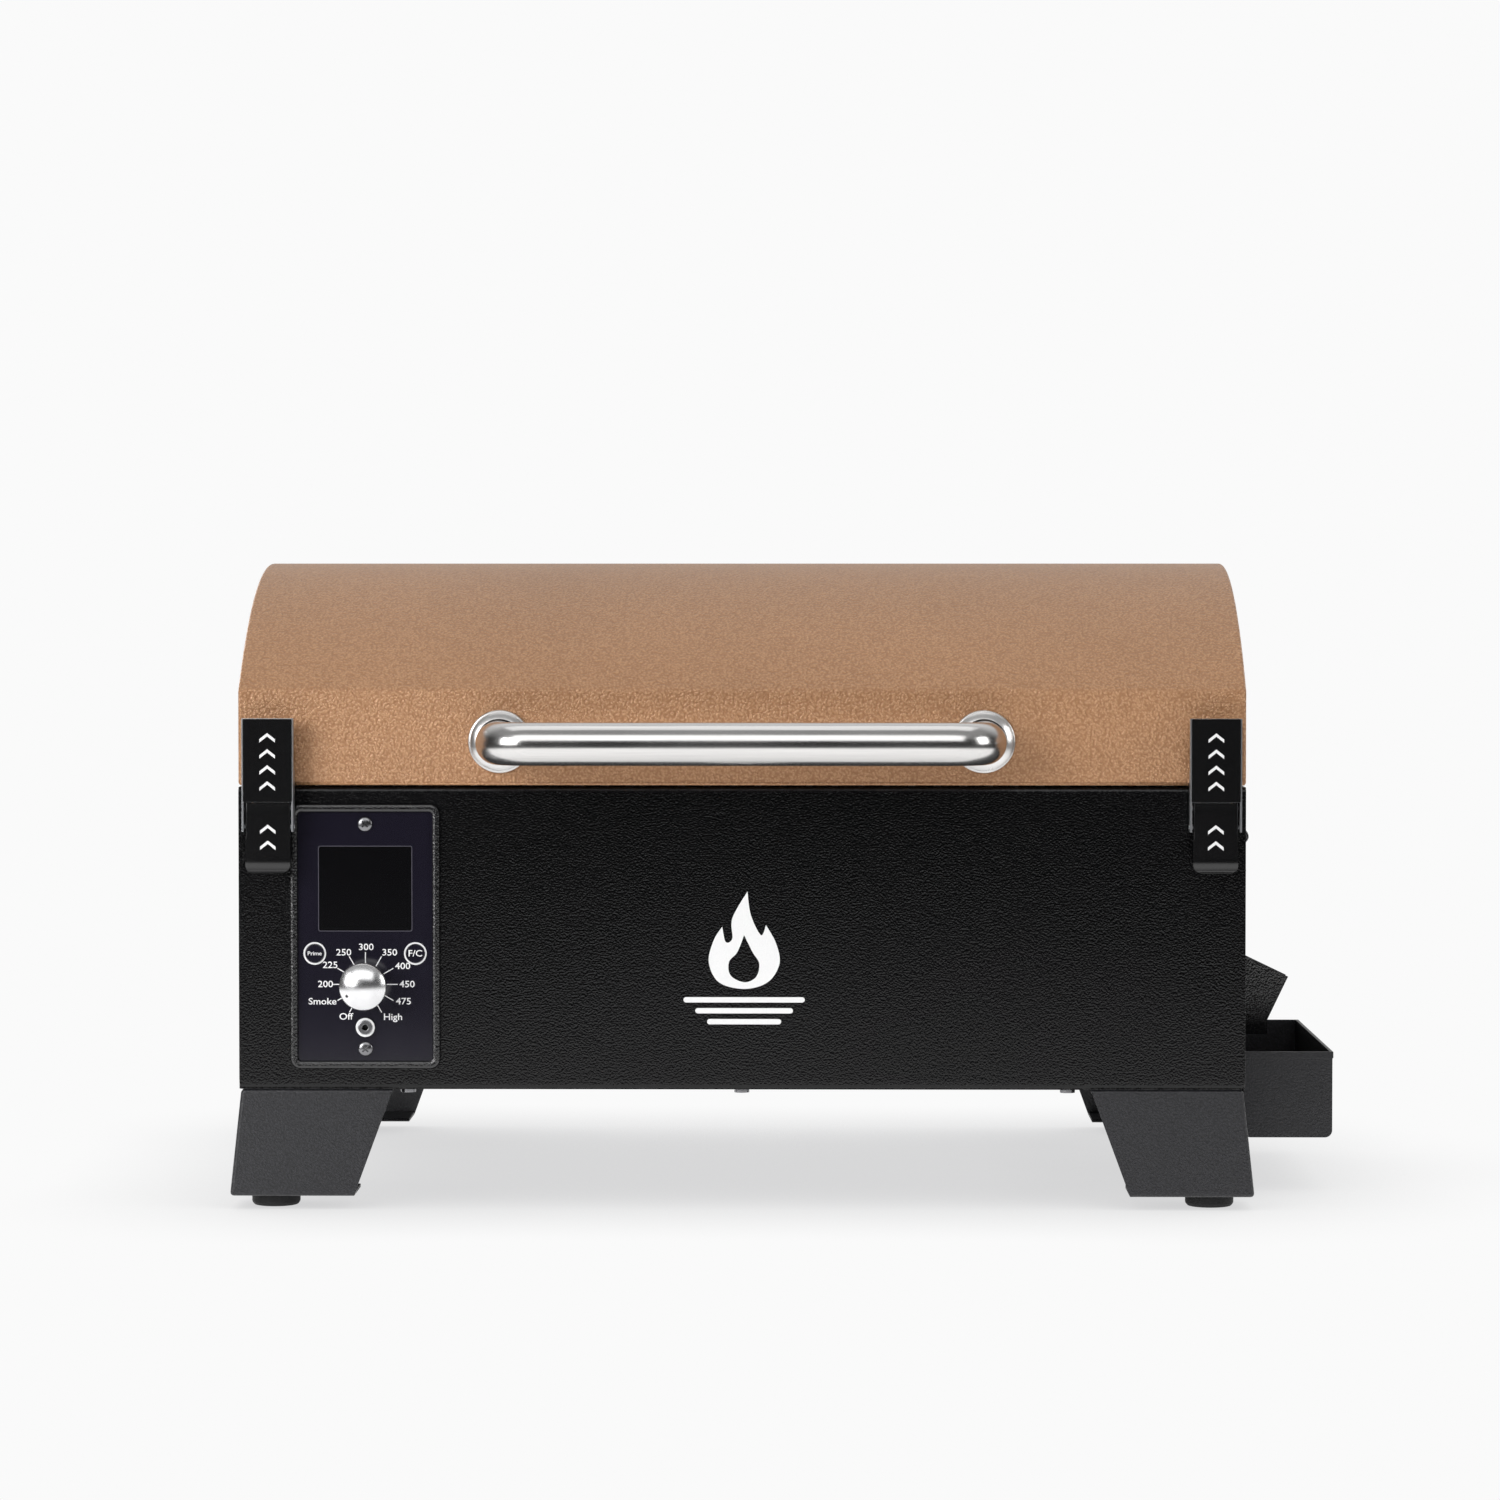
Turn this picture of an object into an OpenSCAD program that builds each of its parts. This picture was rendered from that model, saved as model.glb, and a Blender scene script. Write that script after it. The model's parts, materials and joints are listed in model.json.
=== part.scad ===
// Table-top pellet smoker grill, in millimetres.
// The drawing frame has X = 0 on the cabinet's centre line, Y = 0 on its front face with +Y to the
// rear, and Z = 0 on the table. place() then moves everything so that the origin is the centre of
// the whole grill's footprint.

/* [Cabinet] */
// Width of the cabinet and the lid
body_w = 598; // [500:1:700]
// Depth of the cabinet, front face to rear face
body_d = 460; // [440:1:480]
// Height of the cabinet's underside above the table
leg_h = 72; // [66:1:80]
// Height of the cabinet's front face
body_h = 180; // [178:1:190]
// Height of the hopper's rim above the table
hopper_top = 343; // [341:1:345]
// Thickness of the cabinet sheet
sheet = 1; // [0.8:0.1:1.5]

/* [Lid] */
// Height of the lid's flat front, up to the crease
lid_front_h = 57.6; // [50:0.1:65]
// Radius of the lid's arch
lid_r = 285; // [284:1:287]
// Depth of the arch's centre behind the front face
arch_y = 193; // [190:1:196]
// How far the arch runs to the rear
lid_rear = 326; // [320:1:328]

/* [Handle] */
// Diameter of the handle tube
handle_d = 25.4; // [20:0.2:28]
// Distance between the handle's two legs
handle_span = 287; // [240:1:340]
// Distance from the lid to the tube's centre line
handle_out = 47; // [40:1:60]
// Height of the handle above the table
handle_z = 279; // [275:1:285]

/* [Latches] */
// Distance of each latch from the centre line
latch_x = 280; // [270:1:282]
// Width of the claw's channel
claw_w = 30.6; // [28:0.1:34]

/* [Controls] */
// Distance of the control panel's centre from the centre line
panel_x = -223.5; // [-226:0.5:-210]
// Height of the knob's centre above the table
knob_z = 134.6; // [130:0.1:140]
// Diameter of the knob
knob_d = 28; // [24:0.5:32]

/* [Feed] */
// Height of the auger's centre line above the table
auger_z = 130; // [128:1:132]
// Distance the auger moves pellets in one turn
auger_pitch = 30; // [25:1:40]

/* [Grate] */
// Number of bars in the cooking grate
grate_bars = 36; // [20:1:44]

/* [Grease] */
// Length of the grease bucket
bucket_l = 225; // [160:1:230]
// Slope of the drip chute, in degrees
chute_slope = 25.6; // [20:0.1:30]

/* [Hidden] */
$fn = 48;

half_w = body_w / 2;
in_w = half_w - sheet;
body_top = leg_h + body_h;
pan_top = leg_h + sheet;
seam = 1;
running = 0.05;

// Lid outline and hinge line
lid_z = body_top + seam;
crease_z = body_top + lid_front_h;
arch_z = crease_z - sqrt(lid_r * lid_r - arch_y * arch_y);
divider_y = 334;
hinge_y = 334;
hinge_z = 350;
hinge_xs = [-200, 200];
hinge_w = 60;
hinge_r = 4.5;
hinge_pin_r = 2.5;

// Fire box
tub_x = 283;
tub_y = [62, 314];
tub_z = 95;
rim_z = 239.5;
pot_y = 188;
pot_r = 42;
pot_top = 172;
slope = 5.5;
plate_z = 186;
probe_z = 222;
grate_x = 283;

// Auger and its drive
tube_r = 23;
tube_wall = 2;
tube_y = [222, 402];
shaft_r = 5;
flight_r = 18.5;
flight_y = [234, 394];
feed_y = [362, 394];
motor_y = 404;
igniter_z = 112;

// Fan
fan_x = 110;
fan_z = 122;
fan_r = 36;
fan_y = [338, 376];
fan_shaft_r = 2;

// Hopper
bin_x = 291;
bin_y = [340, 455];
bin_knee = 262;
bin_floor = 153.4;
bin_mouth = 20;
bin_top = 340;
guard_z = 268;
hopper_pivot = [464, 346];
hopper_hinge_xs = [-180, 180];
hopper_lid_z = [hopper_top + 0.6, hopper_top + 6];

// Legs
leg_top_x = [298, 207.5];
leg_foot_x = [305, 231];
leg_depth = [64, 48];
leg_t = 2;
leg_lip = 1.2;
foot_h = 8;
foot_r = 14.5;
foot_at = [280, 28];
leg_bolt_xs = [280, 230];
leg_bolt_y = 36;
bolt_r = 3;
screw_r = 2;
pan_screw_xs = [-199, 0, 194];
pan_screw_y = 10;

// Control panel
bezel_size = [89, 157.2];
bezel_z = 163.1;
plate_size = [80, 148.2];
plate_t = 1.5;
bezel_t = 4;
cutout_size = [74.5, 120];
window_size = [55, 50];
window_z = 191.6;
screw_zs = [230, 96.3];
jack_z = 109.1;
jack_r = 1.75;
jack_len = 16;
button_xs = [-253.6, -193.8];
button_z = 153;
button_r = 5.5;
board_y = 26;
box_y = 56;
box_size = [81, 146];

// Latch pivots, as [y, z]
lever_pivot = [-8, 240];
claw_pivot = [-9, 229];
lever_w = 26.5;
lever_face = -14;
lever_z = [202, 243];
claw_face = -15.5;
claw_z = [243.5, 293];
claw_foot = 226;
latch_pin_r = 1.5;
latch_ear_r = 3.2;

// Carry bails
bail_x = 307;
bail_z = 216;
bail_ys = [140, 250];
bail_r = 3;
bail_drop = 23;
bail_bend = 7;
grip_r = 6;

// Grease bucket and chute
bucket_x = [306, 361];
bucket_y0 = 95;
bucket_z = [33.3, 86];
bucket_t = 1.5;
hem = 0.5;
rail_z = 84.1;
chute_tip = [341.7, 124.8];
chute_h = 30;
chute_y = [187, 204];
chute_foot = 88.5;
chute_gap_z = [109.5, 149];
chute_reach = 66;
outlet_z = [122, 149];

// The whole grill's extents, for the origin
left_end = -(bail_x + grip_r);
right_end = bucket_x[1];
front_end = -(handle_out + handle_d / 2);
gland_len = 14;
rear_end = body_d + gland_len;
to_origin = [-(left_end + right_end) / 2, -(front_end + rear_end) / 2, 0];

black = [0.09, 0.09, 0.1];
leg_grey = [0.22, 0.22, 0.23];
copper = [0.76, 0.53, 0.37];
steel = [0.78, 0.78, 0.77];
zinc = [0.62, 0.63, 0.65];
rubber = [0.05, 0.05, 0.05];
enamel = [0.12, 0.12, 0.13];
green = [0.05, 0.3, 0.15];

// ---- Building blocks ----

module place() translate(to_origin) children();

module block(low, high) translate(low) cube(high - low);

module along_x(x0, x1) translate([x0, 0, 0]) rotate([90, 0, 90]) linear_extrude(x1 - x0) children();

module along_y(y0, y1) translate([0, y1, 0]) rotate([90, 0, 0]) linear_extrude(y1 - y0) children();

module rod_x(r, x0, x1, y, z) translate([x0, y, z]) rotate([0, 90, 0]) cylinder(r = r, h = x1 - x0);

module rod_y(r, x, y0, y1, z) translate([x, y1, z]) rotate([90, 0, 0]) cylinder(r = r, h = y1 - y0);

module rod_z(r, x, y, z0, z1) translate([x, y, z0]) cylinder(r = r, h = z1 - z0);

module both_sides() {
    children();
    mirror([1, 0, 0]) children();
}

// Mirrors front to rear about the middle of the cabinet
module to_rear() translate([0, body_d, 0]) mirror([0, 1, 0]) children();

// A rectangle with round corners, centred at a point
module round_rect(centre, size, r) translate(centre) {
    square([size[0] - 2 * r, size[1]], center = true);
    square([size[0], size[1] - 2 * r], center = true);
    for (x = [-1, 1], z = [-1, 1])
        translate([x * (size[0] / 2 - r), z * (size[1] / 2 - r)]) circle(r);
}

// A quarter bend of round rod in the XY plane, from +X round to +Y about the origin
module bend(rod, radius) rotate_extrude(angle = 90) translate([radius, 0]) circle(rod);

// ---- Cabinet ----

module front_panel() color(black) place() difference() {
    union() {
        block([-half_w, 0, leg_h], [half_w, sheet, body_top]);
        block([-in_w, sheet, body_top - sheet], [in_w, 14, body_top]);
        block([-in_w, sheet, pan_top], [in_w, 16, pan_top + sheet]);
    }
    along_y(-1, 3) round_rect([panel_x, bezel_z], cutout_size, 3);
    for (z = screw_zs) rod_y(screw_r + running, panel_x, -1, 3, z);
    for (x = pan_screw_xs) rod_z(screw_r + running, x, pan_screw_y, leg_h, pan_top + 4);
    both_sides() for (x = [-7, 7])
        rod_y(screw_r + running, latch_x + x, -1, 3, 212);
}

// One side of the cabinet, drawn on the +X side
module side_sheet() {
    along_x(in_w, half_w) polygon([[sheet, leg_h], [body_d - sheet, leg_h],
        [body_d - sheet, hopper_top], [divider_y, hopper_top], [divider_y, body_top],
        [sheet, body_top]]);
    block([in_w - 11, 14, body_top - sheet], [in_w, divider_y, body_top]);
}

module left_side_panel() color(black) place() mirror([1, 0, 0]) side_sheet();

module right_side_panel() color(black) place() difference() {
    side_sheet();
    block([in_w - 1, chute_y[0] - 0.5, chute_gap_z[0]],
        [half_w + 1, chute_y[1] + 0.5, chute_gap_z[1]]);
}

module rear_panel() color(black) place() difference() {
    union() {
        block([-half_w, body_d - sheet, leg_h], [half_w, body_d, hopper_top]);
        for (x = [-90, 90], i = [0:5]) louvre(x, 96 + 12 * i);
    }
    for (x = [-90, 90], i = [0:5])
        block([x - 28, body_d - 2, 92 + 12 * i], [x + 28, body_d + 0.5, 96 + 12 * i]);
    rod_y(7, -200, body_d - 3, body_d + 1, 110);
}

// A pressed hood over one vent slot, open at its lower edge
module louvre(x, z) along_x(x - 30, x + 30) polygon([[body_d, z + 3], [body_d, z],
    [body_d + 4, z - 4], [body_d + 5, z - 4]]);

module bottom_pan() color(black) place() difference() {
    block([-in_w, sheet, leg_h], [in_w, body_d - sheet, pan_top]);
    leg_bolt_places() rod_z(bolt_r + running, 0, 0, leg_h - 1, pan_top + 1);
    for (x = pan_screw_xs) rod_z(screw_r + running, x, pan_screw_y, leg_h - 1, pan_top + 1);
    for (i = [-3:3])
        block([i * 30 - 5, 380, leg_h - 1], [i * 30 + 5, 440, pan_top + 1]);
}

module hopper_divider() color(black) place() difference() {
    block([-in_w, divider_y, pan_top], [in_w, divider_y + sheet, hopper_top]);
    rod_y(tube_r + running, 0, divider_y - 1, divider_y + 3, auger_z);
    rod_y(fan_r - 2, fan_x, divider_y - 1, divider_y + 3, fan_z);
}

module firebox_liner() color(enamel) place() difference() {
    union() {
        block([-tub_x, tub_y[0], tub_z], [tub_x, tub_y[1], rim_z]);
        block([-in_w, sheet, rim_z - sheet], [in_w, divider_y, rim_z]);
    }
    block([-tub_x + sheet, tub_y[0] + sheet, tub_z + sheet], [tub_x - sheet, tub_y[1] - sheet, rim_z + 1]);
    rod_y(tube_r + running, 0, tub_y[1] - 3, tub_y[1] + 1, auger_z);
    rod_x(3 + running, -tub_x - 1, -tub_x + 3, pot_y, probe_z);
    block([tub_x - 3, chute_y[0] - 7, 111], [tub_x + 1, chute_y[1] + 7, outlet_z[1] + 7]);
}

// ---- Legs ----

module leg_bolt_places() both_sides() for (rear = [false, true], x = leg_bolt_xs)
    translate([x, rear ? body_d - leg_bolt_y : leg_bolt_y, 0]) children();

// The front leg on the +X side: a splayed angle with a flange at each end
module leg() difference() {
    intersection() {
        union() {
            along_y(0, leg_t) polygon([[leg_top_x[1], leg_h], [leg_top_x[0], leg_h],
                [leg_foot_x[0], foot_h], [leg_foot_x[1], foot_h]]);
            leg_side();
            block([leg_top_x[1] + 4, 0, leg_h - leg_t], [leg_top_x[0], leg_depth[0], leg_h]);
            block([leg_foot_x[1] - leg_lip, -leg_lip, foot_h],
                [leg_foot_x[0] + leg_lip, leg_depth[1], foot_h + leg_t]);
        }
        block([leg_top_x[1] - 9, -leg_lip, foot_h],
            [leg_foot_x[0] + leg_lip, leg_depth[0], leg_h]);
    }
    for (x = leg_bolt_xs) rod_z(bolt_r + running, x, leg_bolt_y, leg_h - 3, leg_h + 1);
}

module leg_side() {
    lean = atan((leg_foot_x[0] - leg_top_x[0]) / (leg_h - foot_h));
    translate([leg_foot_x[0], 0, foot_h]) rotate([0, -lean, 0]) along_x(-leg_t, 0)
        polygon([[0, -1], [leg_depth[1], -1], [leg_depth[0], leg_h - foot_h + 2],
            [0, leg_h - foot_h + 2]]);
}

module front_right_leg() color(leg_grey) place() leg();

module front_left_leg() color(leg_grey) place() mirror([1, 0, 0]) leg();

module rear_right_leg() color(leg_grey) place() to_rear() leg();

module rear_left_leg() color(leg_grey) place() to_rear() mirror([1, 0, 0]) leg();

module rubber_feet() color(rubber) place() both_sides() for (y = [foot_at[1], body_d - foot_at[1]])
    translate([foot_at[0], y, 0]) rotate_extrude()
        polygon([[0, 0], [foot_r - 1.5, 0], [foot_r, 2], [foot_r, foot_h], [0, foot_h]]);

module cabinet_fasteners() color(zinc) place() {
    leg_bolt_places() {
        rod_z(5.5, 0, 0, leg_h - leg_t - 3.5, leg_h - leg_t);
        rod_z(bolt_r, 0, 0, leg_h - leg_t - 1, pan_top + 7);
        rod_z(5, 0, 0, pan_top, pan_top + 5, $fn = 6);
    }
    for (x = pan_screw_xs) {
        rod_z(4.5, x, pan_screw_y, leg_h - 2.5, leg_h);
        rod_z(screw_r, x, pan_screw_y, leg_h - 1, pan_top + 8);
    }
}

// ---- Control panel ----

module control_bezel() color(black) place() along_y(-bezel_t, 0) difference() {
    round_rect([panel_x, bezel_z], bezel_size, 6);
    round_rect([panel_x, bezel_z], plate_size, 2);
}

module control_plate() color(black) place() difference() {
    along_y(-plate_t, 0) round_rect([panel_x, bezel_z], plate_size, 2);
    along_y(-plate_t - 1, 1) round_rect([panel_x, window_z], window_size, 1);
    rod_y(3.2, panel_x, -3, 1, knob_z);
    rod_y(4, panel_x, -3, 1, jack_z);
    for (z = screw_zs) rod_y(screw_r + running, panel_x, -3, 1, z);
    for (x = button_xs) rod_y(button_r + running, x, -3, 1, button_z);
}

module display_window() color([0.1, 0.1, 0.12, 0.6]) place()
    along_y(-plate_t + 0.3, 0) round_rect([panel_x, window_z], window_size, 1);

module control_screws() color(zinc) place() for (z = screw_zs) difference() {
    union() {
        rod_y(4.7, panel_x, -plate_t - 2.4, -plate_t, z);
        rod_y(screw_r, panel_x, -plate_t - 1, 9, z);
    }
    for (turn = [0, 90]) translate([panel_x, -plate_t - 2.4, z]) rotate([0, turn, 0])
        cube([5.5, 2.6, 1.1], center = true);
}

module control_box() color(black) place() difference() {
    along_y(sheet, box_y) round_rect([panel_x, bezel_z], box_size, 3);
    along_y(2 * sheet, box_y - sheet) round_rect([panel_x, bezel_z], box_size - [3, 3], 2);
    along_y(0, 5) round_rect([panel_x, bezel_z], cutout_size, 3);
    for (z = screw_zs) rod_y(screw_r + running, panel_x, 0, 5, z);
}

module circuit_board() color(green) place() difference() {
    union() {
        along_y(board_y, board_y + 1.6) round_rect([panel_x, bezel_z], [66, 132], 2);
        along_y(board_y - 14, board_y) round_rect([panel_x, window_z], [50, 44], 1);
        along_y(board_y - 12, board_y) round_rect([panel_x, knob_z], [17, 17], 1);
        for (x = button_xs) rod_y(3, x * 0.98 + panel_x * 0.02, board_y - 8, board_y, button_z);
        block([panel_x - 26, board_y + 1.6, 110], [panel_x - 6, board_y + 17, 138]);
        block([panel_x + 4, board_y + 1.6, 112], [panel_x + 24, board_y + 13, 130]);
        for (i = [0:2]) rod_y(4, panel_x - 16 + 16 * i, board_y + 1.6, board_y + 16, 200);
    }
    rod_y(3 + running, panel_x, board_y - 13, board_y + 1, knob_z);
}

module probe_jack() color(steel) place() difference() {
    union() {
        rod_y(5.8, panel_x, -plate_t - 2, -plate_t, jack_z);
        rod_y(4, panel_x, -plate_t - 3.5, jack_len - 2, jack_z);
        rod_y(5.5, panel_x, 0, 2.4, jack_z, $fn = 6);
    }
    rod_y(jack_r, panel_x, -10, jack_len - plate_t - 3.5, jack_z);
}

module prime_button() color(steel) place() panel_button(button_xs[0]);

module unit_button() color(steel) place() panel_button(button_xs[1]);

// A round key with a stop collar behind the plate and a stem towards its switch
module panel_button(x) {
    rod_y(button_r, x, -plate_t - 1.1, 3, button_z);
    rod_y(1.5, x, 2, 14, button_z);
}

module control_knob() color(steel) place() {
    translate([panel_x, 0, knob_z]) rotate([90, 0, 0]) rotate_extrude()
        polygon([[0, 2.2], [knob_d / 2, 2.2], [knob_d / 2, 5], [knob_d / 2 - 1, 6.5],
            [knob_d / 2 - 1.6, 22.5], [knob_d / 2 - 3.6, 25.6], [0, 26.5]]);
    rod_y(3, panel_x, -3, board_y - 4, knob_z);
}

// ---- Pellet hopper and feed ----

function bin_outline(inset, top) =
    let (tilt = atan((bin_knee - bin_floor) / (bin_x - bin_mouth)),
        rise = inset / cos(tilt), grade = tan(tilt), x = bin_x - inset,
        knee = bin_knee + rise - inset * grade, floor_x = bin_mouth + (inset - rise) / grade)
    [[-x, top], [-x, knee], [-floor_x, bin_floor + inset], [floor_x, bin_floor + inset],
        [x, knee], [x, top]];

module hopper_bin() color(zinc) place() difference() {
    along_y(bin_y[0], bin_y[1]) polygon(bin_outline(0, bin_top));
    along_y(bin_y[0] + sheet, bin_y[1] - sheet) polygon(bin_outline(sheet, bin_top + 1));
    block([-15, feed_y[0], bin_floor - 1], [15, feed_y[1], bin_floor + 3]);
}

// Four flat bars with rods laid across them
module hopper_guard() color(zinc) place() {
    for (y = [345, 380, 415, 450])
        block([-288, y - 1.5, guard_z - 2], [288, y + 1.5, guard_z + 2]);
    for (i = [-7:7]) rod_y(1.5, i * 40, 343, 452, guard_z + 3.5 + running);
}

module auger_tube() color(zinc) place() difference() {
    union() {
        rod_y(tube_r, 0, tube_y[0], tube_y[1], auger_z);
        block([-30, tube_y[1] - 2, auger_z - 26], [30, tube_y[1], auger_z + 22]);
    }
    rod_y(tube_r - tube_wall, 0, tube_y[0] - 1, tube_y[1] + 1, auger_z);
    block([-13, feed_y[0], auger_z + 10], [13, feed_y[1], auger_z + 30]);
}

module auger_bushing() color(steel) place() difference() {
    rod_y(tube_r - tube_wall, 0, tube_y[1] - 6, tube_y[1], auger_z);
    rod_y(shaft_r + running, 0, tube_y[1] - 7, tube_y[1] + 1, auger_z);
}

module auger_motor() color(zinc) place() difference() {
    union() {
        block([-30, motor_y, auger_z - 26], [30, motor_y + 22, auger_z + 21]);
        rod_y(20, 0, motor_y + 22, motor_y + 48, auger_z);
    }
    rod_y(shaft_r + running, 0, motor_y - 1, motor_y + 12, auger_z);
}

module auger() color(steel) place() {
    rod_y(shaft_r, 0, flight_y[0] - 2, motor_y + 10, auger_z);
    translate([0, flight_y[1], auger_z]) rotate([90, 0, 0])
        linear_extrude(flight_y[1] - flight_y[0], slices = 84, segments = 4,
            twist = -360 * (flight_y[1] - flight_y[0]) / auger_pitch)
            polygon([[4, -1.2], flight_r * [cos(14), -sin(14)], flight_r * [cos(14), sin(14)],
                [4, 1.2]]);
}

module burn_pot() color(zinc) place() difference() {
    rod_z(pot_r, 0, pot_y, tub_z + sheet, pot_top);
    rod_z(pot_r - 2.5, 0, pot_y, tub_z + sheet + 2.5, pot_top + 1);
    rod_y(tube_r + running, 0, pot_y, pot_y + pot_r + 5, auger_z);
    rod_y(4 + running, 0, pot_y - pot_r - 5, pot_y, igniter_z);
    for (z = [104, 162], a = [30:60:150]) translate([0, pot_y, z]) rotate([0, 90, a])
        cylinder(r = 2.5, h = 2 * pot_r + 2, center = true);
}

module igniter_rod() color(steel) place() {
    rod_y(4, 0, 112, pot_y - pot_r + 8, igniter_z);
    rod_y(7, 0, 116, 132, igniter_z);
    block([-8, 119, tub_z + sheet], [8, 129, igniter_z]);
}

module fan_housing() color(black) place() difference() {
    along_y(fan_y[0], fan_y[1]) round_rect([fan_x, fan_z], [80, 80], 6);
    difference() {
        rod_y(fan_r, fan_x, fan_y[0] - 1, fan_y[1] + 1, fan_z);
        rod_y(13, fan_x, fan_y[1] - 9, fan_y[1], fan_z);
        for (a = [90, 210, 330]) translate([fan_x, 0, fan_z]) rotate([0, a, 0])
            block([8, fan_y[1] - 4, -3], [fan_r + 1, fan_y[1], 3]);
    }
    rod_y(fan_shaft_r + running, fan_x, fan_y[1] - 10, fan_y[1] + 1, fan_z);
}

module fan_rotor() color(black) place() {
    rod_y(13, fan_x, fan_y[0] + 6, fan_y[1] - 11, fan_z);
    rod_y(fan_shaft_r, fan_x, fan_y[1] - 12, fan_y[1] - 1, fan_z);
    for (a = [0:60:300]) translate([fan_x, fan_y[0] + 16, fan_z]) rotate([0, a, 0])
        translate([22.5, 0, 0]) rotate([40, 0, 0]) cube([23, 1.6, 20], center = true);
}

module temperature_probe() color(steel) place() {
    rod_x(3, -tub_x - 10, -225, pot_y, probe_z);
    rod_x(6, -tub_x + sheet, -tub_x + 6, pot_y, probe_z);
}

// ---- Fire box fittings ----

// Moves children onto the sloping plate over the burn pot
module on_slope() translate([0, pot_y, plate_z]) rotate([0, slope, 0]) children();

module flame_broiler_plate() color(enamel) place() intersection() {
    on_slope() difference() {
        union() {
            block([-300, -124, -1], [300, 124, 1]);
            block([-300, -124, -1], [300, -122, 10]);
            block([-300, 122, -1], [300, 124, 10]);
        }
        for (i = [-2:2]) block([i * 18 - 5, -55, -2], [i * 18 + 5, 55, 2]);
    }
    block([-tub_x + sheet, 0, tub_z], [tub_x - sheet, divider_y, rim_z]);
}

module broiler_slider() color(zinc) place() on_slope() difference() {
    union() {
        block([-58, -66, 1.3], [58, 66, 3.3]);
        block([-58, -66, 1.3], [-56, 66, 12]);
    }
    for (i = [-2:2]) block([i * 18 - 5, -55, 0], [i * 18 + 5, 55, 5]);
}

module cooking_grate() color(steel) place() {
    for (y = [36, 132, 228, 324])
        block([-grate_x, y - 3, rim_z], [grate_x, y + 3, rim_z + 5]);
    for (i = [0:grate_bars - 1])
        rod_y(2, (grate_x - 3) * (2 * i / (grate_bars - 1) - 1), 31, 329, rim_z + 6.5);
}

// ---- Grease ----

// A sloping channel with a flange over the tub's outlet
module drip_chute() color(enamel) place() {
    intersection() {
        translate([chute_tip[0], 0, chute_tip[1]]) rotate([0, chute_slope, 0]) difference() {
            block([-chute_reach - 20, chute_y[0], -chute_h], [0, chute_y[1], 0]);
            block([-chute_reach - 21, chute_y[0] + sheet, sheet - chute_h],
                [1, chute_y[1] - sheet, 1]);
        }
        block([tub_x, 0, 0], [400, body_d, 300]);
    }
    for (y = [chute_y[0], chute_y[1] - sheet]) along_y(y, y + sheet) chute_skirt();
    difference() {
        block([tub_x, chute_y[0] - 13, 106], [tub_x + 1.6, chute_y[1] + 13, outlet_z[1] + 12]);
        block([tub_x - 1, chute_y[0] + 2, outlet_z[0]], [tub_x + 3, chute_y[1] - 2, outlet_z[1]]);
    }
}

// One side of the channel below its floor, down towards the bucket's rim
module chute_skirt() {
    x = chute_tip[0] - chute_h * sin(chute_slope);
    z = chute_tip[1] - chute_h * cos(chute_slope);
    back = half_w + sheet + 0.3;
    polygon([[back, chute_foot], [x, chute_foot], [x, z],
        [x + 8 * sin(chute_slope), z + 8 * cos(chute_slope)],
        [back, z + (x - back) * tan(chute_slope) + 8]]);
}

module bucket_bracket() color(black) place() {
    y1 = bucket_y0 + bucket_l;
    block([half_w, bucket_y0, 58], [half_w + sheet, y1, rail_z + 7]);
    for (z = [rail_z, rail_z + 3.8])
        block([half_w, bucket_y0, z - sheet], [half_w + 5.6, y1, z]);
    block([half_w, bucket_y0, 58], [bucket_x[0] - 0.4, y1, 58 + sheet]);
}

// The bucket's section across its length, with round lower corners
module bucket_section(inset) {
    w = bucket_x[1] - hem - bucket_x[0];
    r = 4.5 - inset;
    translate([bucket_x[0] + inset, bucket_z[0] + inset]) {
        translate([r, 0]) square([w - 2 * inset - 2 * r, 60]);
        translate([0, r]) square([w - 2 * inset, 60]);
        for (x = [r, w - 2 * inset - r]) translate([x, r]) circle(r);
    }
}

module grease_bucket() color(leg_grey) place() {
    y0 = bucket_y0 + hem;
    y1 = bucket_y0 + bucket_l - hem;
    difference() {
        union() {
            along_y(y0, y1) intersection() {
                bucket_section(0);
                translate([0, bucket_z[0]]) square([400, bucket_z[1] - bucket_z[0]]);
            }
            block([bucket_x[0], bucket_y0, bucket_z[1] - 4],
                [bucket_x[1], bucket_y0 + bucket_l, bucket_z[1]]);
            block([half_w + 2, bucket_y0, rail_z + 0.3], [bucket_x[0] + 1, y1 + hem, bucket_z[1]]);
        }
        along_y(y0 + bucket_t, y1 - bucket_t) bucket_section(bucket_t);
    }
}

module cord_gland() color(rubber) place() difference() {
    union() {
        rod_y(11, -200, body_d, body_d + 3, 110);
        rod_y(8, -200, body_d, body_d + gland_len, 110);
        rod_y(6.9, -200, body_d - 4, body_d + 1, 110);
        rod_y(9, -200, body_d - 4.5, body_d - sheet, 110);
    }
    rod_y(4, -200, body_d - 6, body_d + gland_len + 1, 110);
}

// ---- Lid ----

// The area under the lid's outside, set in by a given amount
module lid_area(inset) {
    intersection() {
        translate([arch_y, arch_z]) circle(lid_r - inset, $fn = 96);
        translate([inset, crease_z - 1]) square([lid_rear + 20 * inset - inset, 100]);
    }
    translate([inset, lid_z - inset])
        square([lid_rear + 20 * inset - inset, lid_front_h - seam + 0.6 * inset]);
}

module lid_shell() color(copper) place() difference() {
    union() {
        along_x(-in_w, in_w) difference() {
            lid_area(0);
            lid_area(sheet);
        }
        block([-in_w, sheet, lid_z], [in_w, 12, lid_z + sheet]);
    }
    for (x = [-0.5, 0.5]) rod_y(3.2, x * handle_span, -1, 3, handle_z);
}

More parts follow.
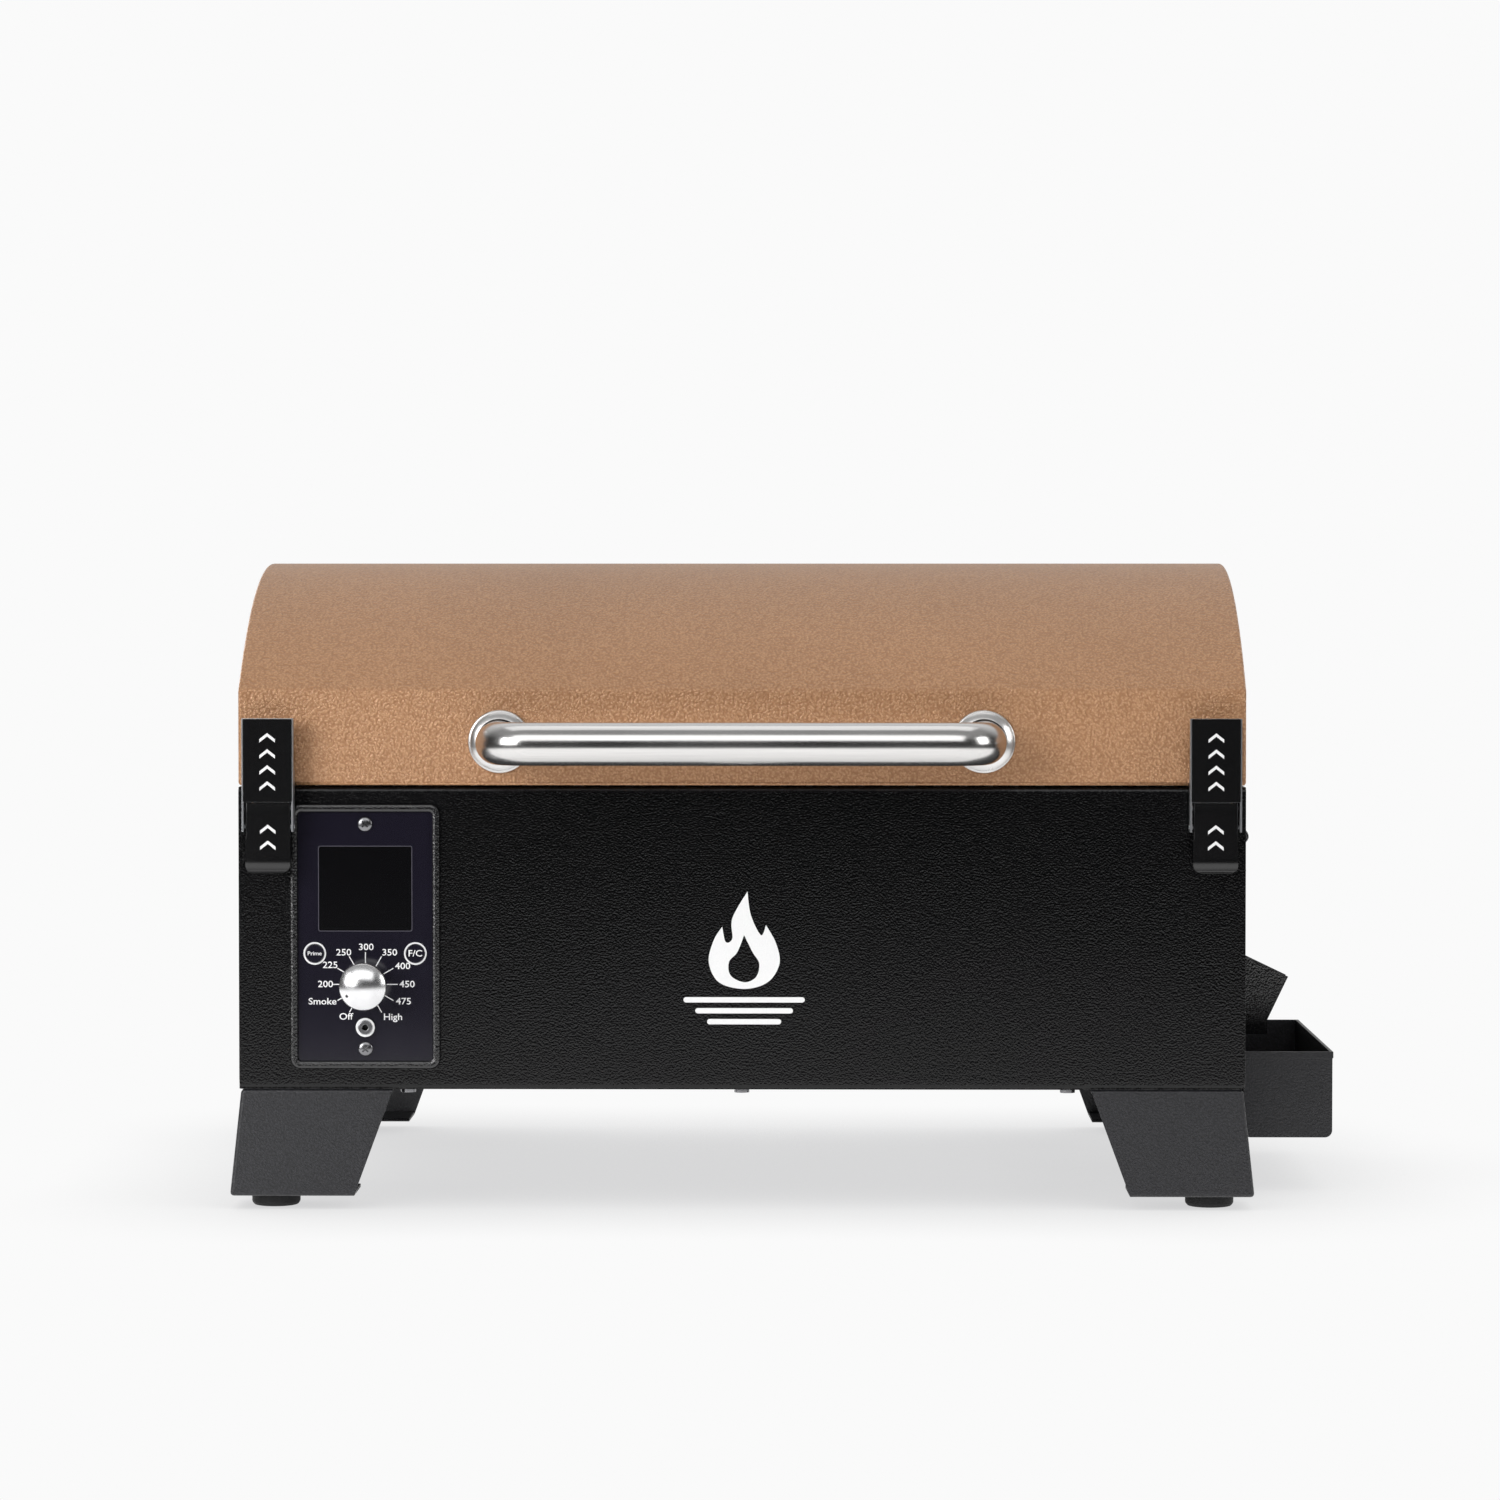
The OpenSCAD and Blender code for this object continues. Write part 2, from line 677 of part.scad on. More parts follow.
module lid_ends() color(copper) place() both_sides() {
    along_x(in_w, half_w) {
        lid_area(0);
        polygon([[lid_rear - 30, lid_z], [divider_y - 2, lid_z], [divider_y - 2, hinge_z - 6],
            [lid_rear, hinge_z + 2], [lid_rear - 30, hinge_z + 2]]);
    }
    block([in_w - 11, 12, lid_z], [in_w, lid_rear, lid_z + sheet]);
}

// The handle's run, as rod of a given radius: two legs, two bends and the bar
module handle_run(r) both_sides() {
    turn = 20;
    leg_x = handle_span / 2;
    rod_y(r, leg_x, turn - handle_out, 0, handle_z);
    translate([leg_x - turn, turn - handle_out, handle_z]) rotate([0, 0, -90]) bend(r, turn);
    rod_x(r, -0.01, leg_x - turn, -handle_out, handle_z);
}

module lid_handle() color(steel) place() difference() {
    handle_run(handle_d / 2);
    intersection() {
        handle_run(handle_d / 2 - 1.5);
        block([-200, -100, 200], [200, -15, 340]);
    }
    for (x = [-0.5, 0.5]) rod_y(3, x * handle_span, -20, 1, handle_z);
}

module handle_bezels() color(steel) place() for (x = [-0.5, 0.5])
    translate([x * handle_span, 0, handle_z]) rotate([90, 0, 0]) rotate_extrude()
        polygon([[handle_d / 2 + running, 0], [18.75, 0], [18.75, 3], [17, 5.5], [14.6, 6.5],
            [handle_d / 2 + running, 6.5]]);

module handle_screws() color(zinc) place() for (x = [-0.5, 0.5]) {
    rod_y(3, x * handle_span, -12, 3, handle_z);
    rod_y(6, x * handle_span, sheet, sheet + 4, handle_z);
}

module latch_keepers() color(zinc) place() both_sides()
    along_x(latch_x - 9, latch_x + 9) polygon([[-1.2, 262], [0, 262], [0, 286], [-1.2, 286],
        [-1.2, 274], [-4, 274], [-4, 278], [-5.2, 278], [-5.2, 272.8], [-1.2, 272.8]]);

// ---- Hinges ----

// The fixed leaves, each with two knuckles and the pin pressed through them
module lid_hinge_leaves() color(zinc) place() for (x = hinge_xs) {
    block([x, divider_y + sheet, 322], [x + hinge_w, divider_y + sheet + 2, hinge_z - 5]);
    for (side = [0, 45]) {
        rod_x(hinge_r, x + side, x + side + 15, hinge_y, hinge_z);
        block([x + side, divider_y + sheet, hinge_z - 6],
            [x + side + 15, divider_y + sheet + 2, hinge_z - 1]);
    }
    rod_x(hinge_pin_r, x - 1, x + hinge_w + 1, hinge_y, hinge_z);
    rod_x(hinge_r - 0.5, x - 3, x, hinge_y, hinge_z);
}

// Height of the lid sheet's underside at a depth behind the front face
function under_arch(y) = arch_z + sqrt(pow(lid_r - sheet, 2) - pow(y - arch_y, 2));

module lid_hinge_straps() color(zinc) place() for (x = hinge_xs) {
    difference() {
        union() {
            rod_x(hinge_r, x + 15.3, x + 44.7, hinge_y, hinge_z);
            along_x(x + 15.3, x + 44.7) polygon([[lid_rear, under_arch(lid_rear)],
                [lid_rear - 18, under_arch(lid_rear - 18)],
                [lid_rear - 19, under_arch(lid_rear - 18) - 2],
                [lid_rear - 1, under_arch(lid_rear) - 2], [hinge_y, hinge_z - 2],
                [hinge_y, hinge_z]]);
        }
        rod_x(hinge_pin_r + running, x + 14, x + 46, hinge_y, hinge_z);
    }
}

module hopper_hinge_leaves() color(zinc) place() for (x = hopper_hinge_xs) {
    block([x, body_d, 322], [x + 50, body_d + 1.5, hopper_pivot[1] - 4]);
    for (side = [0, 38]) {
        rod_x(3.5, x + side, x + side + 12, hopper_pivot[0], hopper_pivot[1]);
        block([x + side, body_d, hopper_pivot[1] - 5],
            [x + side + 12, body_d + 1.5, hopper_pivot[1]]);
    }
    rod_x(1.5, x + 1, x + 49, hopper_pivot[0], hopper_pivot[1]);
}

module hopper_lid() color(black) place() {
    y0 = divider_y + 7;
    y1 = body_d - 2;
    difference() {
        block([-half_w, y0, hopper_lid_z[0]], [half_w, y1, hopper_lid_z[1]]);
        block([-in_w, y0 + sheet, hopper_lid_z[0] - 1], [in_w, y1 - sheet, hopper_lid_z[1] - sheet]);
    }
    for (x = hopper_hinge_xs) difference() {
        union() {
            rod_x(3.5, x + 12.3, x + 37.7, hopper_pivot[0], hopper_pivot[1]);
            block([x + 12.3, y1, hopper_pivot[1] - 1], [x + 37.7, hopper_pivot[0], hopper_pivot[1] + 1]);
        }
        rod_x(1.5 + running, x + 12, x + 38, hopper_pivot[0], hopper_pivot[1]);
    }
}

module hopper_lid_handle() color(steel) place() {
    top = hopper_lid_z[1] + 12;
    both_sides() {
        rod_z(3, 45, 358, hopper_lid_z[1], top - 6);
        rod_z(6, 45, 358, hopper_lid_z[1], hopper_lid_z[1] + 1.5);
        translate([39, 358, top - 6]) rotate([90, 0, 0]) bend(3, 6);
        rod_x(3, -0.01, 39, 358, top);
    }
}

// ---- Latches ----

module latch_bases() color(zinc) place() both_sides() {
    difference() {
        block([latch_x - 11, -2, 205], [latch_x + 11, 0, 250]);
        for (x = [-7, 7]) rod_y(screw_r + running, latch_x + x, -3, 1, 212);
    }
    for (x = [-10, 8.5]) {
        block([latch_x + x, lever_pivot[0], 235],
            [latch_x + x + 1.5, -2, lever_pivot[1] + latch_ear_r]);
        rod_x(latch_ear_r, latch_x + x, latch_x + x + 1.5, lever_pivot[0], lever_pivot[1]);
    }
    rod_x(latch_pin_r, latch_x - 13.6, latch_x + 13.6, lever_pivot[0], lever_pivot[1]);
    for (x = [-7, 7]) {
        rod_y(screw_r, latch_x + x, -3, 8, 212);
        rod_y(3.6, latch_x + x, -4, -2, 212);
    }
}

// The lever on the +X side: a plate with two ears, and the claw's pin across them
module latch_lever() difference() {
    union() {
        along_y(lever_face, lever_face + sheet) {
            round_rect([latch_x, (lever_z[0] + lever_z[1]) / 2],
                [lever_w, lever_z[1] - lever_z[0]], 3);
            translate([latch_x - lever_w / 2, lever_z[1] - 10]) square([lever_w, 10]);
        }
        along_x(latch_x - lever_w / 2 + 3, latch_x + lever_w / 2 - 3) polygon([
            [lever_face, lever_z[0]], [lever_face, lever_z[0] + 8], [lever_face - 3, lever_z[0]]]);
        for (x = [-lever_w / 2, lever_w / 2 - 1.2])
            block([latch_x + x, lever_face + 1, 222], [latch_x + x + 1.2, lever_pivot[0] + 2, lever_z[1]]);
        rod_x(latch_pin_r, latch_x - claw_w / 2 - 0.3, latch_x + claw_w / 2 + 0.3,
            claw_pivot[0], claw_pivot[1]);
    }
    rod_x(latch_pin_r + running, latch_x - 20, latch_x + 20, lever_pivot[0], lever_pivot[1]);
}

// The claw on the +X side: a channel that hooks over the keeper
module latch_claw() {
    x0 = latch_x - claw_w / 2;
    x1 = latch_x + claw_w / 2;
    block([x0, claw_face, claw_z[0]], [x1, claw_face + sheet, claw_z[1]]);
    block([x0, claw_face, claw_z[1] - sheet], [x1, -10.5, claw_z[1]]);
    for (x = [x0, x1 - 1.2]) difference() {
        block([x, claw_face, claw_foot], [x + 1.2, -6, claw_z[1]]);
        rod_x(latch_pin_r + running, x - 1, x + 2.2, claw_pivot[0], claw_pivot[1]);
        translate([x - 1, -10.5, 262]) cube([4, 6, 40]);
    }
}

module right_latch_lever() color(black) place() latch_lever();

module left_latch_lever() color(black) place() mirror([1, 0, 0]) latch_lever();

module right_latch_claw() color(steel) place() latch_claw();

module left_latch_claw() color(steel) place() mirror([1, 0, 0]) latch_claw();

// ---- Carry bails ----

module bail_brackets() color(steel) place() both_sides() for (y = bail_ys) difference() {
    union() {
        block([half_w, y - 12, bail_z - 13], [half_w + 2, y + 12, bail_z + 13]);
        block([half_w, y - 7, bail_z - 5], [bail_x, y + 7, bail_z + 5]);
        rod_y(5, bail_x, y - 7, y + 7, bail_z);
    }
    rod_y(bail_r + running, bail_x, y - 8, y + 8, bail_z);
}

// The bail on the +X side, hanging from its two brackets
module bail() {
    mid = (bail_ys[0] + bail_ys[1]) / 2;
    arm = mid - bail_ys[0] - 14;
    translate([bail_x, mid, bail_z]) for (end = [0, 1]) mirror([0, end, 0]) {
        rod_y(bail_r, 0, -(arm + 22), -(arm + bail_bend), 0);
        translate([0, -(arm + bail_bend), -bail_bend]) rotate([0, -90, 0]) bend(bail_r, bail_bend);
        rod_z(bail_r, 0, -arm, -(bail_drop - bail_bend), -bail_bend);
        translate([0, -(arm - bail_bend), bail_bend - bail_drop]) rotate([180, 90, 0])
            bend(bail_r, bail_bend);
        rod_y(bail_r, 0, -(arm - bail_bend), 0.01, -bail_drop);
        rod_y(grip_r, 0, -(arm - bail_bend - 2), 0.01, -bail_drop);
    }
}

module right_bail() color(steel) place() bail();

module left_bail() color(steel) place() mirror([1, 0, 0]) bail();

front_panel();
left_side_panel();
right_side_panel();
rear_panel();
bottom_pan();
hopper_divider();
firebox_liner();
front_left_leg();
front_right_leg();
rear_left_leg();
rear_right_leg();
rubber_feet();
cabinet_fasteners();
control_bezel();
control_plate();
display_window();
control_screws();
control_box();
circuit_board();
probe_jack();
hopper_bin();
hopper_guard();
auger_tube();
auger_bushing();
auger_motor();
burn_pot();
igniter_rod();
fan_housing();
temperature_probe();
flame_broiler_plate();
drip_chute();
bucket_bracket();
cord_gland();
latch_bases();
bail_brackets();
lid_hinge_leaves();
hopper_hinge_leaves();
lid_shell();
lid_ends();
lid_handle();
handle_bezels();
handle_screws();
latch_keepers();
lid_hinge_straps();
hopper_lid();
hopper_lid_handle();
left_latch_lever();
left_latch_claw();
right_latch_lever();
right_latch_claw();
left_bail();
right_bail();
control_knob();
prime_button();
unit_button();
auger();
fan_rotor();
broiler_slider();
cooking_grate();
grease_bucket();
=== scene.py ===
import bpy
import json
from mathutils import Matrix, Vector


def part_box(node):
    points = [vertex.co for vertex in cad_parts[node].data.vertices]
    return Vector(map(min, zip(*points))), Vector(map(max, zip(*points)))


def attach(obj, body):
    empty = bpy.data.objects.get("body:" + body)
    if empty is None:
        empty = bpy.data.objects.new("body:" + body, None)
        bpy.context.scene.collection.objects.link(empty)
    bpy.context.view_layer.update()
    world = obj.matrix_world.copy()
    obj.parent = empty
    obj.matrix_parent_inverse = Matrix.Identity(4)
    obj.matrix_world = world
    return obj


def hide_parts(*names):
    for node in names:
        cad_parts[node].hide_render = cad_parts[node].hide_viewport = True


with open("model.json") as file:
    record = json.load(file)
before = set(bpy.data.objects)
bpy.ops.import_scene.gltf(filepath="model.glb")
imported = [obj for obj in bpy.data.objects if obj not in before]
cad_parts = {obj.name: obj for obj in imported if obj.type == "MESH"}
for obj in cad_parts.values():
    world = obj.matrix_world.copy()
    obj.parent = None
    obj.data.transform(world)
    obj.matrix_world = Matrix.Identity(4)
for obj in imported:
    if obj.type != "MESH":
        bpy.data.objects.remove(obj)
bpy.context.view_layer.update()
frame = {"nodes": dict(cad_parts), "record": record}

import json
import math

import bmesh
import bpy
from mathutils import Matrix, Vector

MM = 0.001
PRINT = 0.08 * MM

# ---------------------------------------------------------------------------
# Places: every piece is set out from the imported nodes' own boxes, in metres
# ---------------------------------------------------------------------------


def node_box(name):
    low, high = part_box(name)
    return Vector(low), Vector(high)


def node_centre(name):
    low, high = node_box(name)
    return (low + high) / 2


front_low, front_high = node_box("front_panel")
CENTRE_X = (front_low.x + front_high.x) / 2
FRONT_Y = front_low.y
HALF_W = (front_high.x - front_low.x) / 2


def at(x, y, z):
    """A point from millimetres right of the centre line, behind the front face and above the table."""
    return Vector((CENTRE_X + x * MM, FRONT_Y + y * MM, z * MM))


# ---------------------------------------------------------------------------
# Node-material helpers
# ---------------------------------------------------------------------------


def srgb(r, g, b):
    """A colour given as 0-255 display values, as linear RGBA."""
    def linear(c):
        c /= 255
        return c / 12.92 if c <= 0.04045 else ((c + 0.055) / 1.055) ** 2.4
    return (linear(r), linear(g), linear(b), 1.0)


def shade(colour, factor):
    return tuple(c * factor for c in colour[:3]) + (1.0,)


class Shader:
    """A small builder for one Principled material, in object coordinates."""

    SOCKETS = {"color": "Base Color", "metallic": "Metallic", "roughness": "Roughness",
               "coat": "Coat Weight", "coat_roughness": "Coat Roughness",
               "specular": "Specular IOR Level"}

    def __init__(self, name):
        self.material = bpy.data.materials.new(name)
        self.material.use_nodes = True
        self.tree = self.material.node_tree
        self.principled = self.tree.nodes["Principled BSDF"]
        self.coords = self.add("ShaderNodeTexCoord").outputs["Object"]

    def add(self, kind, **settings):
        node = self.tree.nodes.new(kind)
        for key, value in settings.items():
            setattr(node, key, value)
        return node

    def link(self, source, target):
        self.tree.links.new(source, target)

    def put(self, node, key, value):
        socket = node.inputs[key]
        if hasattr(value, "is_output"):
            self.link(value, socket)
        else:
            socket.default_value = value

    def set(self, **values):
        for key, value in values.items():
            self.put(self.principled, self.SOCKETS[key], value)

    def scaled(self, sx, sy, sz):
        mapping = self.add("ShaderNodeMapping")
        self.link(self.coords, mapping.inputs["Vector"])
        mapping.inputs["Scale"].default_value = (sx, sy, sz)
        return mapping.outputs["Vector"]

    def wander(self, scale, distance):
        """Object coordinates pushed about by a noise, so that regular cells turn irregular."""
        node = self.add("ShaderNodeVectorMath", operation="MULTIPLY_ADD")
        drift = self.add("ShaderNodeTexNoise")
        self.link(self.coords, drift.inputs["Vector"])
        drift.inputs["Scale"].default_value = scale
        self.link(drift.outputs["Color"], node.inputs[0])
        node.inputs[1].default_value = (distance, distance, distance)
        self.link(self.coords, node.inputs[2])
        return node.outputs["Vector"]

    def noise(self, scale, detail=3.0, roughness=0.55, vector=None):
        node = self.add("ShaderNodeTexNoise")
        self.link(vector or self.coords, node.inputs["Vector"])
        node.inputs["Scale"].default_value = scale
        node.inputs["Detail"].default_value = detail
        node.inputs["Roughness"].default_value = roughness
        return node.outputs["Fac"]

    def cells(self, scale, smooth, vector):
        node = self.add("ShaderNodeTexVoronoi", feature="SMOOTH_F1")
        self.link(vector, node.inputs["Vector"])
        node.inputs["Scale"].default_value = scale
        node.inputs["Smoothness"].default_value = smooth
        return node.outputs["Distance"]

    def span(self, value, low, high, from_low=0.0, from_high=1.0):
        node = self.add("ShaderNodeMapRange")
        for key, number in (("From Min", from_low), ("From Max", from_high),
                            ("To Min", low), ("To Max", high)):
            node.inputs[key].default_value = number
        self.link(value, node.inputs["Value"])
        return node.outputs["Result"]

    def math(self, operation, *values):
        node = self.add("ShaderNodeMath", operation=operation)
        for key, value in enumerate(values):
            self.put(node, key, value)
        return node.outputs["Value"]

    def mix(self, factor, a, b):
        node = self.add("ShaderNodeMix", data_type="RGBA")
        for key, value in ((0, factor), (6, a), (7, b)):
            self.put(node, key, value)
        return node.outputs[2]

    def bump(self, height, distance, strength=1.0):
        node = self.add("ShaderNodeBump")
        self.link(height, node.inputs["Height"])
        node.inputs["Distance"].default_value = distance
        node.inputs["Strength"].default_value = strength
        self.link(node.outputs["Normal"], self.principled.inputs["Normal"])


# ---------------------------------------------------------------------------
# Materials
# ---------------------------------------------------------------------------


def hammertone(name, colour, hollow, cell, depth, roughness, specular=0.5, metallic=0.0):
    """Powder coat with a pebbled finish: raised lumps about `cell` metres across."""
    s = Shader(name)
    lumps = s.cells(1.0 / cell, 0.8, s.wander(0.5 / cell, cell * 1.1))
    fine = s.noise(2.2 / cell, detail=2.0)
    height = s.math("MULTIPLY_ADD", fine, -0.35, lumps)
    broad = s.noise(5.0, detail=4.0)
    tone = s.mix(s.span(lumps, 0.0, 1.0, 0.15, 0.6), colour, hollow)
    tone = s.mix(s.span(broad, 0.0, 0.10, 0.35, 0.65), tone, (0, 0, 0, 1))
    s.set(color=tone, roughness=s.span(fine, roughness - 0.07, roughness + 0.07),
          specular=specular, metallic=metallic)
    s.bump(s.math("MULTIPLY", height, -1.0), depth)
    return s.material


def satin_coat(name, colour, grain, depth, roughness):
    """Smooth paint with a fine grain and slight unevenness."""
    s = Shader(name)
    speck = s.noise(1.0 / grain, detail=3.0)
    broad = s.noise(6.0, detail=3.0)
    tone = s.mix(s.span(broad, 0.0, 1.0, 0.3, 0.7), colour, shade(colour, 0.78))
    s.set(color=tone, roughness=s.span(speck, roughness - 0.06, roughness + 0.08))
    s.bump(speck, depth)
    return s.material


def brushed(name, colour, roughness, along, scratch=0.012 * MM):
    """Brushed metal with its grain along one axis."""
    s = Shader(name)
    stretch = [2600.0, 2600.0, 2600.0]
    stretch["xyz".index(along)] = 14.0
    lines = s.noise(1.0, detail=4.0, roughness=0.7, vector=s.scaled(*stretch))
    cloud = s.noise(14.0, detail=2.0)
    tone = s.mix(s.span(lines, 0.0, 0.8, 0.35, 0.65), colour, shade(colour, 0.84))
    grain = s.span(lines, roughness - 0.05, roughness + 0.05)
    s.set(color=tone, metallic=1.0,
          roughness=s.math("ADD", grain, s.span(cloud, 0.0, 0.06, 0.3, 0.7)))
    s.bump(lines, scratch, 0.5)
    return s.material


def plated(name, colour, roughness):
    """Zinc or chrome plate with faint cloudiness."""
    s = Shader(name)
    cloud = s.noise(60.0, detail=4.0)
    s.set(color=s.mix(s.span(cloud, 0.0, 1.0, 0.3, 0.7), colour, shade(colour, 0.84)),
          metallic=1.0,
          roughness=s.span(cloud, max(roughness - 0.04, 0.02), roughness + 0.05))
    s.bump(cloud, 0.008 * MM, 0.4)
    return s.material


def gloss(name, colour, roughness, coat):
    """Glossy plastic or lacquer with a trace of haze."""
    s = Shader(name)
    haze = s.noise(40.0, detail=5.0)
    s.set(color=colour, roughness=s.span(haze, roughness, roughness + 0.06),
          coat=coat, coat_roughness=0.05)
    s.bump(haze, 0.02 * MM, 0.3)
    return s.material


def grained(name, colour, roughness, grain, depth):
    """Moulded plastic, rubber or a printed mark."""
    s = Shader(name)
    speck = s.noise(1.0 / grain, detail=2.0)
    s.set(color=s.mix(speck, colour, shade(colour, 0.85)),
          roughness=s.span(speck, roughness - 0.05, roughness + 0.05))
    s.bump(speck, depth, 0.6)
    return s.material


def smoked_enamel(name):
    """Black enamel inside the fire box, browned in patches by smoke."""
    s = Shader(name)
    smoke = s.noise(9.0, detail=6.0, roughness=0.65)
    tone = s.mix(s.span(smoke, 0.0, 1.0, 0.35, 0.7), srgb(36, 35, 36), srgb(68, 55, 45))
    s.set(color=tone, roughness=s.span(smoke, 0.36, 0.6, 0.3, 0.7))
    s.bump(s.noise(700.0, detail=2.0), 0.08 * MM, 0.6)
    return s.material


PEBBLE = 1.15 * MM

COPPER = hammertone("copper_hammertone", srgb(193, 149, 110), srgb(163, 118, 82), 1.45 * MM,
                    depth=0.6 * MM, roughness=0.36, metallic=0.15)
BLACK = hammertone("black_hammertone", srgb(7, 7, 8), srgb(4, 4, 5), PEBBLE,
                   depth=0.17 * MM, roughness=0.2, specular=0.36)
RIDGE = hammertone("ridge_hammertone", srgb(14, 14, 16), srgb(9, 9, 10), PEBBLE,
                   depth=0.22 * MM, roughness=0.2, specular=0.8)
TOP_BLACK = hammertone("top_black_hammertone", srgb(13, 13, 14), srgb(8, 8, 9), PEBBLE,
                       depth=0.17 * MM, roughness=0.5, specular=0.2)
# The body's black hammertone, painted lighter for the legs and the other leg_black parts: painted
# floor light, standing in for the light the white floor throws up on them.
FLOOR_LIT_BLACK = hammertone("black_hammertone_painted_floor_light", srgb(41, 41, 45), srgb(24, 24, 27), PEBBLE,
                 depth=0.18 * MM, roughness=0.4, specular=0.5)
LATCH = satin_coat("latch_black", srgb(14, 14, 15), 1.4 * MM, 0.01 * MM, 0.2)
STEEL = brushed("brushed_stainless", (0.68, 0.67, 0.66, 1), 0.19, "x")
ZINC = plated("zinc_plate", (0.50, 0.51, 0.53, 1), 0.34)
BRIGHT = plated("satin_steel", (0.78, 0.77, 0.76, 1), 0.28)
SCREW = plated("dark_zinc", (0.25, 0.25, 0.26, 1), 0.24)
CHROME = plated("polished_chrome", (0.84, 0.84, 0.85, 1), 0.24)
PANEL = gloss("panel_overlay", srgb(22, 20, 31), 0.12, coat=0.2)
GLASS = gloss("display_glass", srgb(6, 6, 8), 0.05, coat=1.0)
WHITE = grained("white_print", srgb(240, 240, 240), 0.5, 0.8 * MM, 0.01 * MM)
GREY_PRINT = grained("grey_print", srgb(66, 64, 74), 0.4, 0.8 * MM, 0.01 * MM)
RUBBER = grained("rubber", srgb(30, 30, 31), 0.75, 1.1 * MM, 0.08 * MM)
PLASTIC = grained("black_plastic", srgb(32, 32, 34), 0.5, 0.8 * MM, 0.04 * MM)
BOARD = grained("board_green", srgb(20, 78, 44), 0.42, 0.8 * MM, 0.04 * MM)
ENAMEL = smoked_enamel("fire_box_enamel")
GRATE = satin_coat("grate_enamel", srgb(40, 40, 42), 1.2 * MM, 0.06 * MM, 0.3)

FINISHES = {
    "body_black": BLACK, "enamel": ENAMEL, "leg_black": FLOOR_LIT_BLACK, "rubber": RUBBER, "zinc": ZINC,
    "panel_gloss": PANEL, "display": GLASS, "screw_steel": SCREW, "black_plastic": PLASTIC,
    "board": BOARD, "bright_steel": STEEL, "copper_paint": COPPER, "latch_black": LATCH,
    "chrome": CHROME, "button_white": PANEL, "grate_enamel": GRATE, "decal": WHITE,
}

# ---------------------------------------------------------------------------
# Mesh helpers
# ---------------------------------------------------------------------------


def finish_piece(obj, body, material, node_names=()):
    obj.data.materials.clear()
    obj.data.materials.append(material)
    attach(obj, body)
    if node_names:
        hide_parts(*node_names)
    return obj


def mesh_piece(name, verts, faces, smooth=True):
    mesh = bpy.data.meshes.new(name)
    mesh.from_pydata([tuple(v) for v in verts], [], faces)
    bm = bmesh.new()
    bm.from_mesh(mesh)
    bmesh.ops.recalc_face_normals(bm, faces=bm.faces)
    bm.to_mesh(mesh)
    bm.free()
    for polygon in mesh.polygons:
        polygon.use_smooth = smooth
    obj = bpy.data.objects.new(name, mesh)
    bpy.context.collection.objects.link(obj)
    return obj


def round_edges(obj, width, segments=3, angle=30):
    bevel = obj.modifiers.new("round", "BEVEL")
    bevel.width = width
    bevel.segments = segments
    bevel.limit_method = "ANGLE"
    bevel.angle_limit = math.radians(angle)
    bevel.use_clamp_overlap = True
    return obj


def even_shading(obj):
    obj.modifiers.new("even", "WEIGHTED_NORMAL").keep_sharp = True
    return obj


def thicken(obj, thickness):
    """Gives a surface the thickness of its sheet, on its inner side."""
    sheet = obj.modifiers.new("sheet", "SOLIDIFY")
    sheet.thickness = thickness
    sheet.offset = -1
    return obj


def soften(obj, width, segments=2, flat=0.6):
    """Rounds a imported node's sharp edges, after joining its flat faces up."""
    obj.modifiers.new("weld", "WELD").merge_threshold = 0.01 * MM
    planes = obj.modifiers.new("planes", "DECIMATE")
    planes.decimate_type = "DISSOLVE"
    planes.angle_limit = math.radians(flat)
    round_edges(obj, width, segments)
    even_shading(obj)


def arc(centre, radius, start, end, count):
    """(u, v) points on a circle, with angles in degrees."""
    angles = [math.radians(start + (end - start) * i / count) for i in range(count + 1)]
    return [(centre[0] + radius * math.cos(a), centre[1] + radius * math.sin(a)) for a in angles]


def rounded_outline(half_w, half_h, radius, steps=6):
    points = []
    for cx, cy, start in ((1, 1, 0), (-1, 1, 90), (-1, -1, 180), (1, -1, 270)):
        corner = (cx * (half_w - radius), cy * (half_h - radius))
        points += arc(corner, radius, start, start + 90, steps)
    return points


def ring_faces(rings, segments, closed):
    """Quads between rings of `segments` points each; closed joins the last ring to the first."""
    faces = []
    for i in range(rings if closed else rings - 1):
        j = (i + 1) % rings
        for k in range(segments):
            n = (k + 1) % segments
            faces.append((i * segments + k, i * segments + n, j * segments + n, j * segments + k))
    return faces


def lathe(name, profile, centre, axis, closed=False, segments=64):
    """Turns (radius, height) points about an axis through centre; a closed profile is a ring."""
    turn = Vector((0, 0, 1)).rotation_difference(Vector(axis)).to_matrix()
    verts = []
    for radius, height in profile:
        for k in range(segments):
            a = 2 * math.pi * k / segments
            spoke = Vector((max(radius, 0.001 * MM) * math.cos(a),
                            max(radius, 0.001 * MM) * math.sin(a), height))
            verts.append(centre + turn @ spoke)
    faces = ring_faces(len(profile), segments, closed)
    if not closed:
        faces.append(tuple(range(segments)))
        faces.append(tuple((len(profile) - 1) * segments + k for k in range(segments)))
    return mesh_piece(name, verts, faces)


def tube(name, path, radius, segments=32):
    """A round rod along a list of points, with flat ends."""
    tangents = []
    for i in range(len(path)):
        ahead = path[min(i + 1, len(path) - 1)]
        behind = path[max(i - 1, 0)]
        tangents.append((ahead - behind).normalized())
    side = tangents[0].orthogonal().normalized()
    verts = []
    for i, point in enumerate(path):
        if i:
            side = tangents[i - 1].rotation_difference(tangents[i]) @ side
        over = tangents[i].cross(side)
        for k in range(segments):
            a = 2 * math.pi * k / segments
            verts.append(point + radius * (math.cos(a) * side + math.sin(a) * over))
    faces = ring_faces(len(path), segments, False)
    faces.append(tuple(range(segments)))
    faces.append(tuple((len(path) - 1) * segments + k for k in range(segments)))
    return mesh_piece(name, verts, faces)


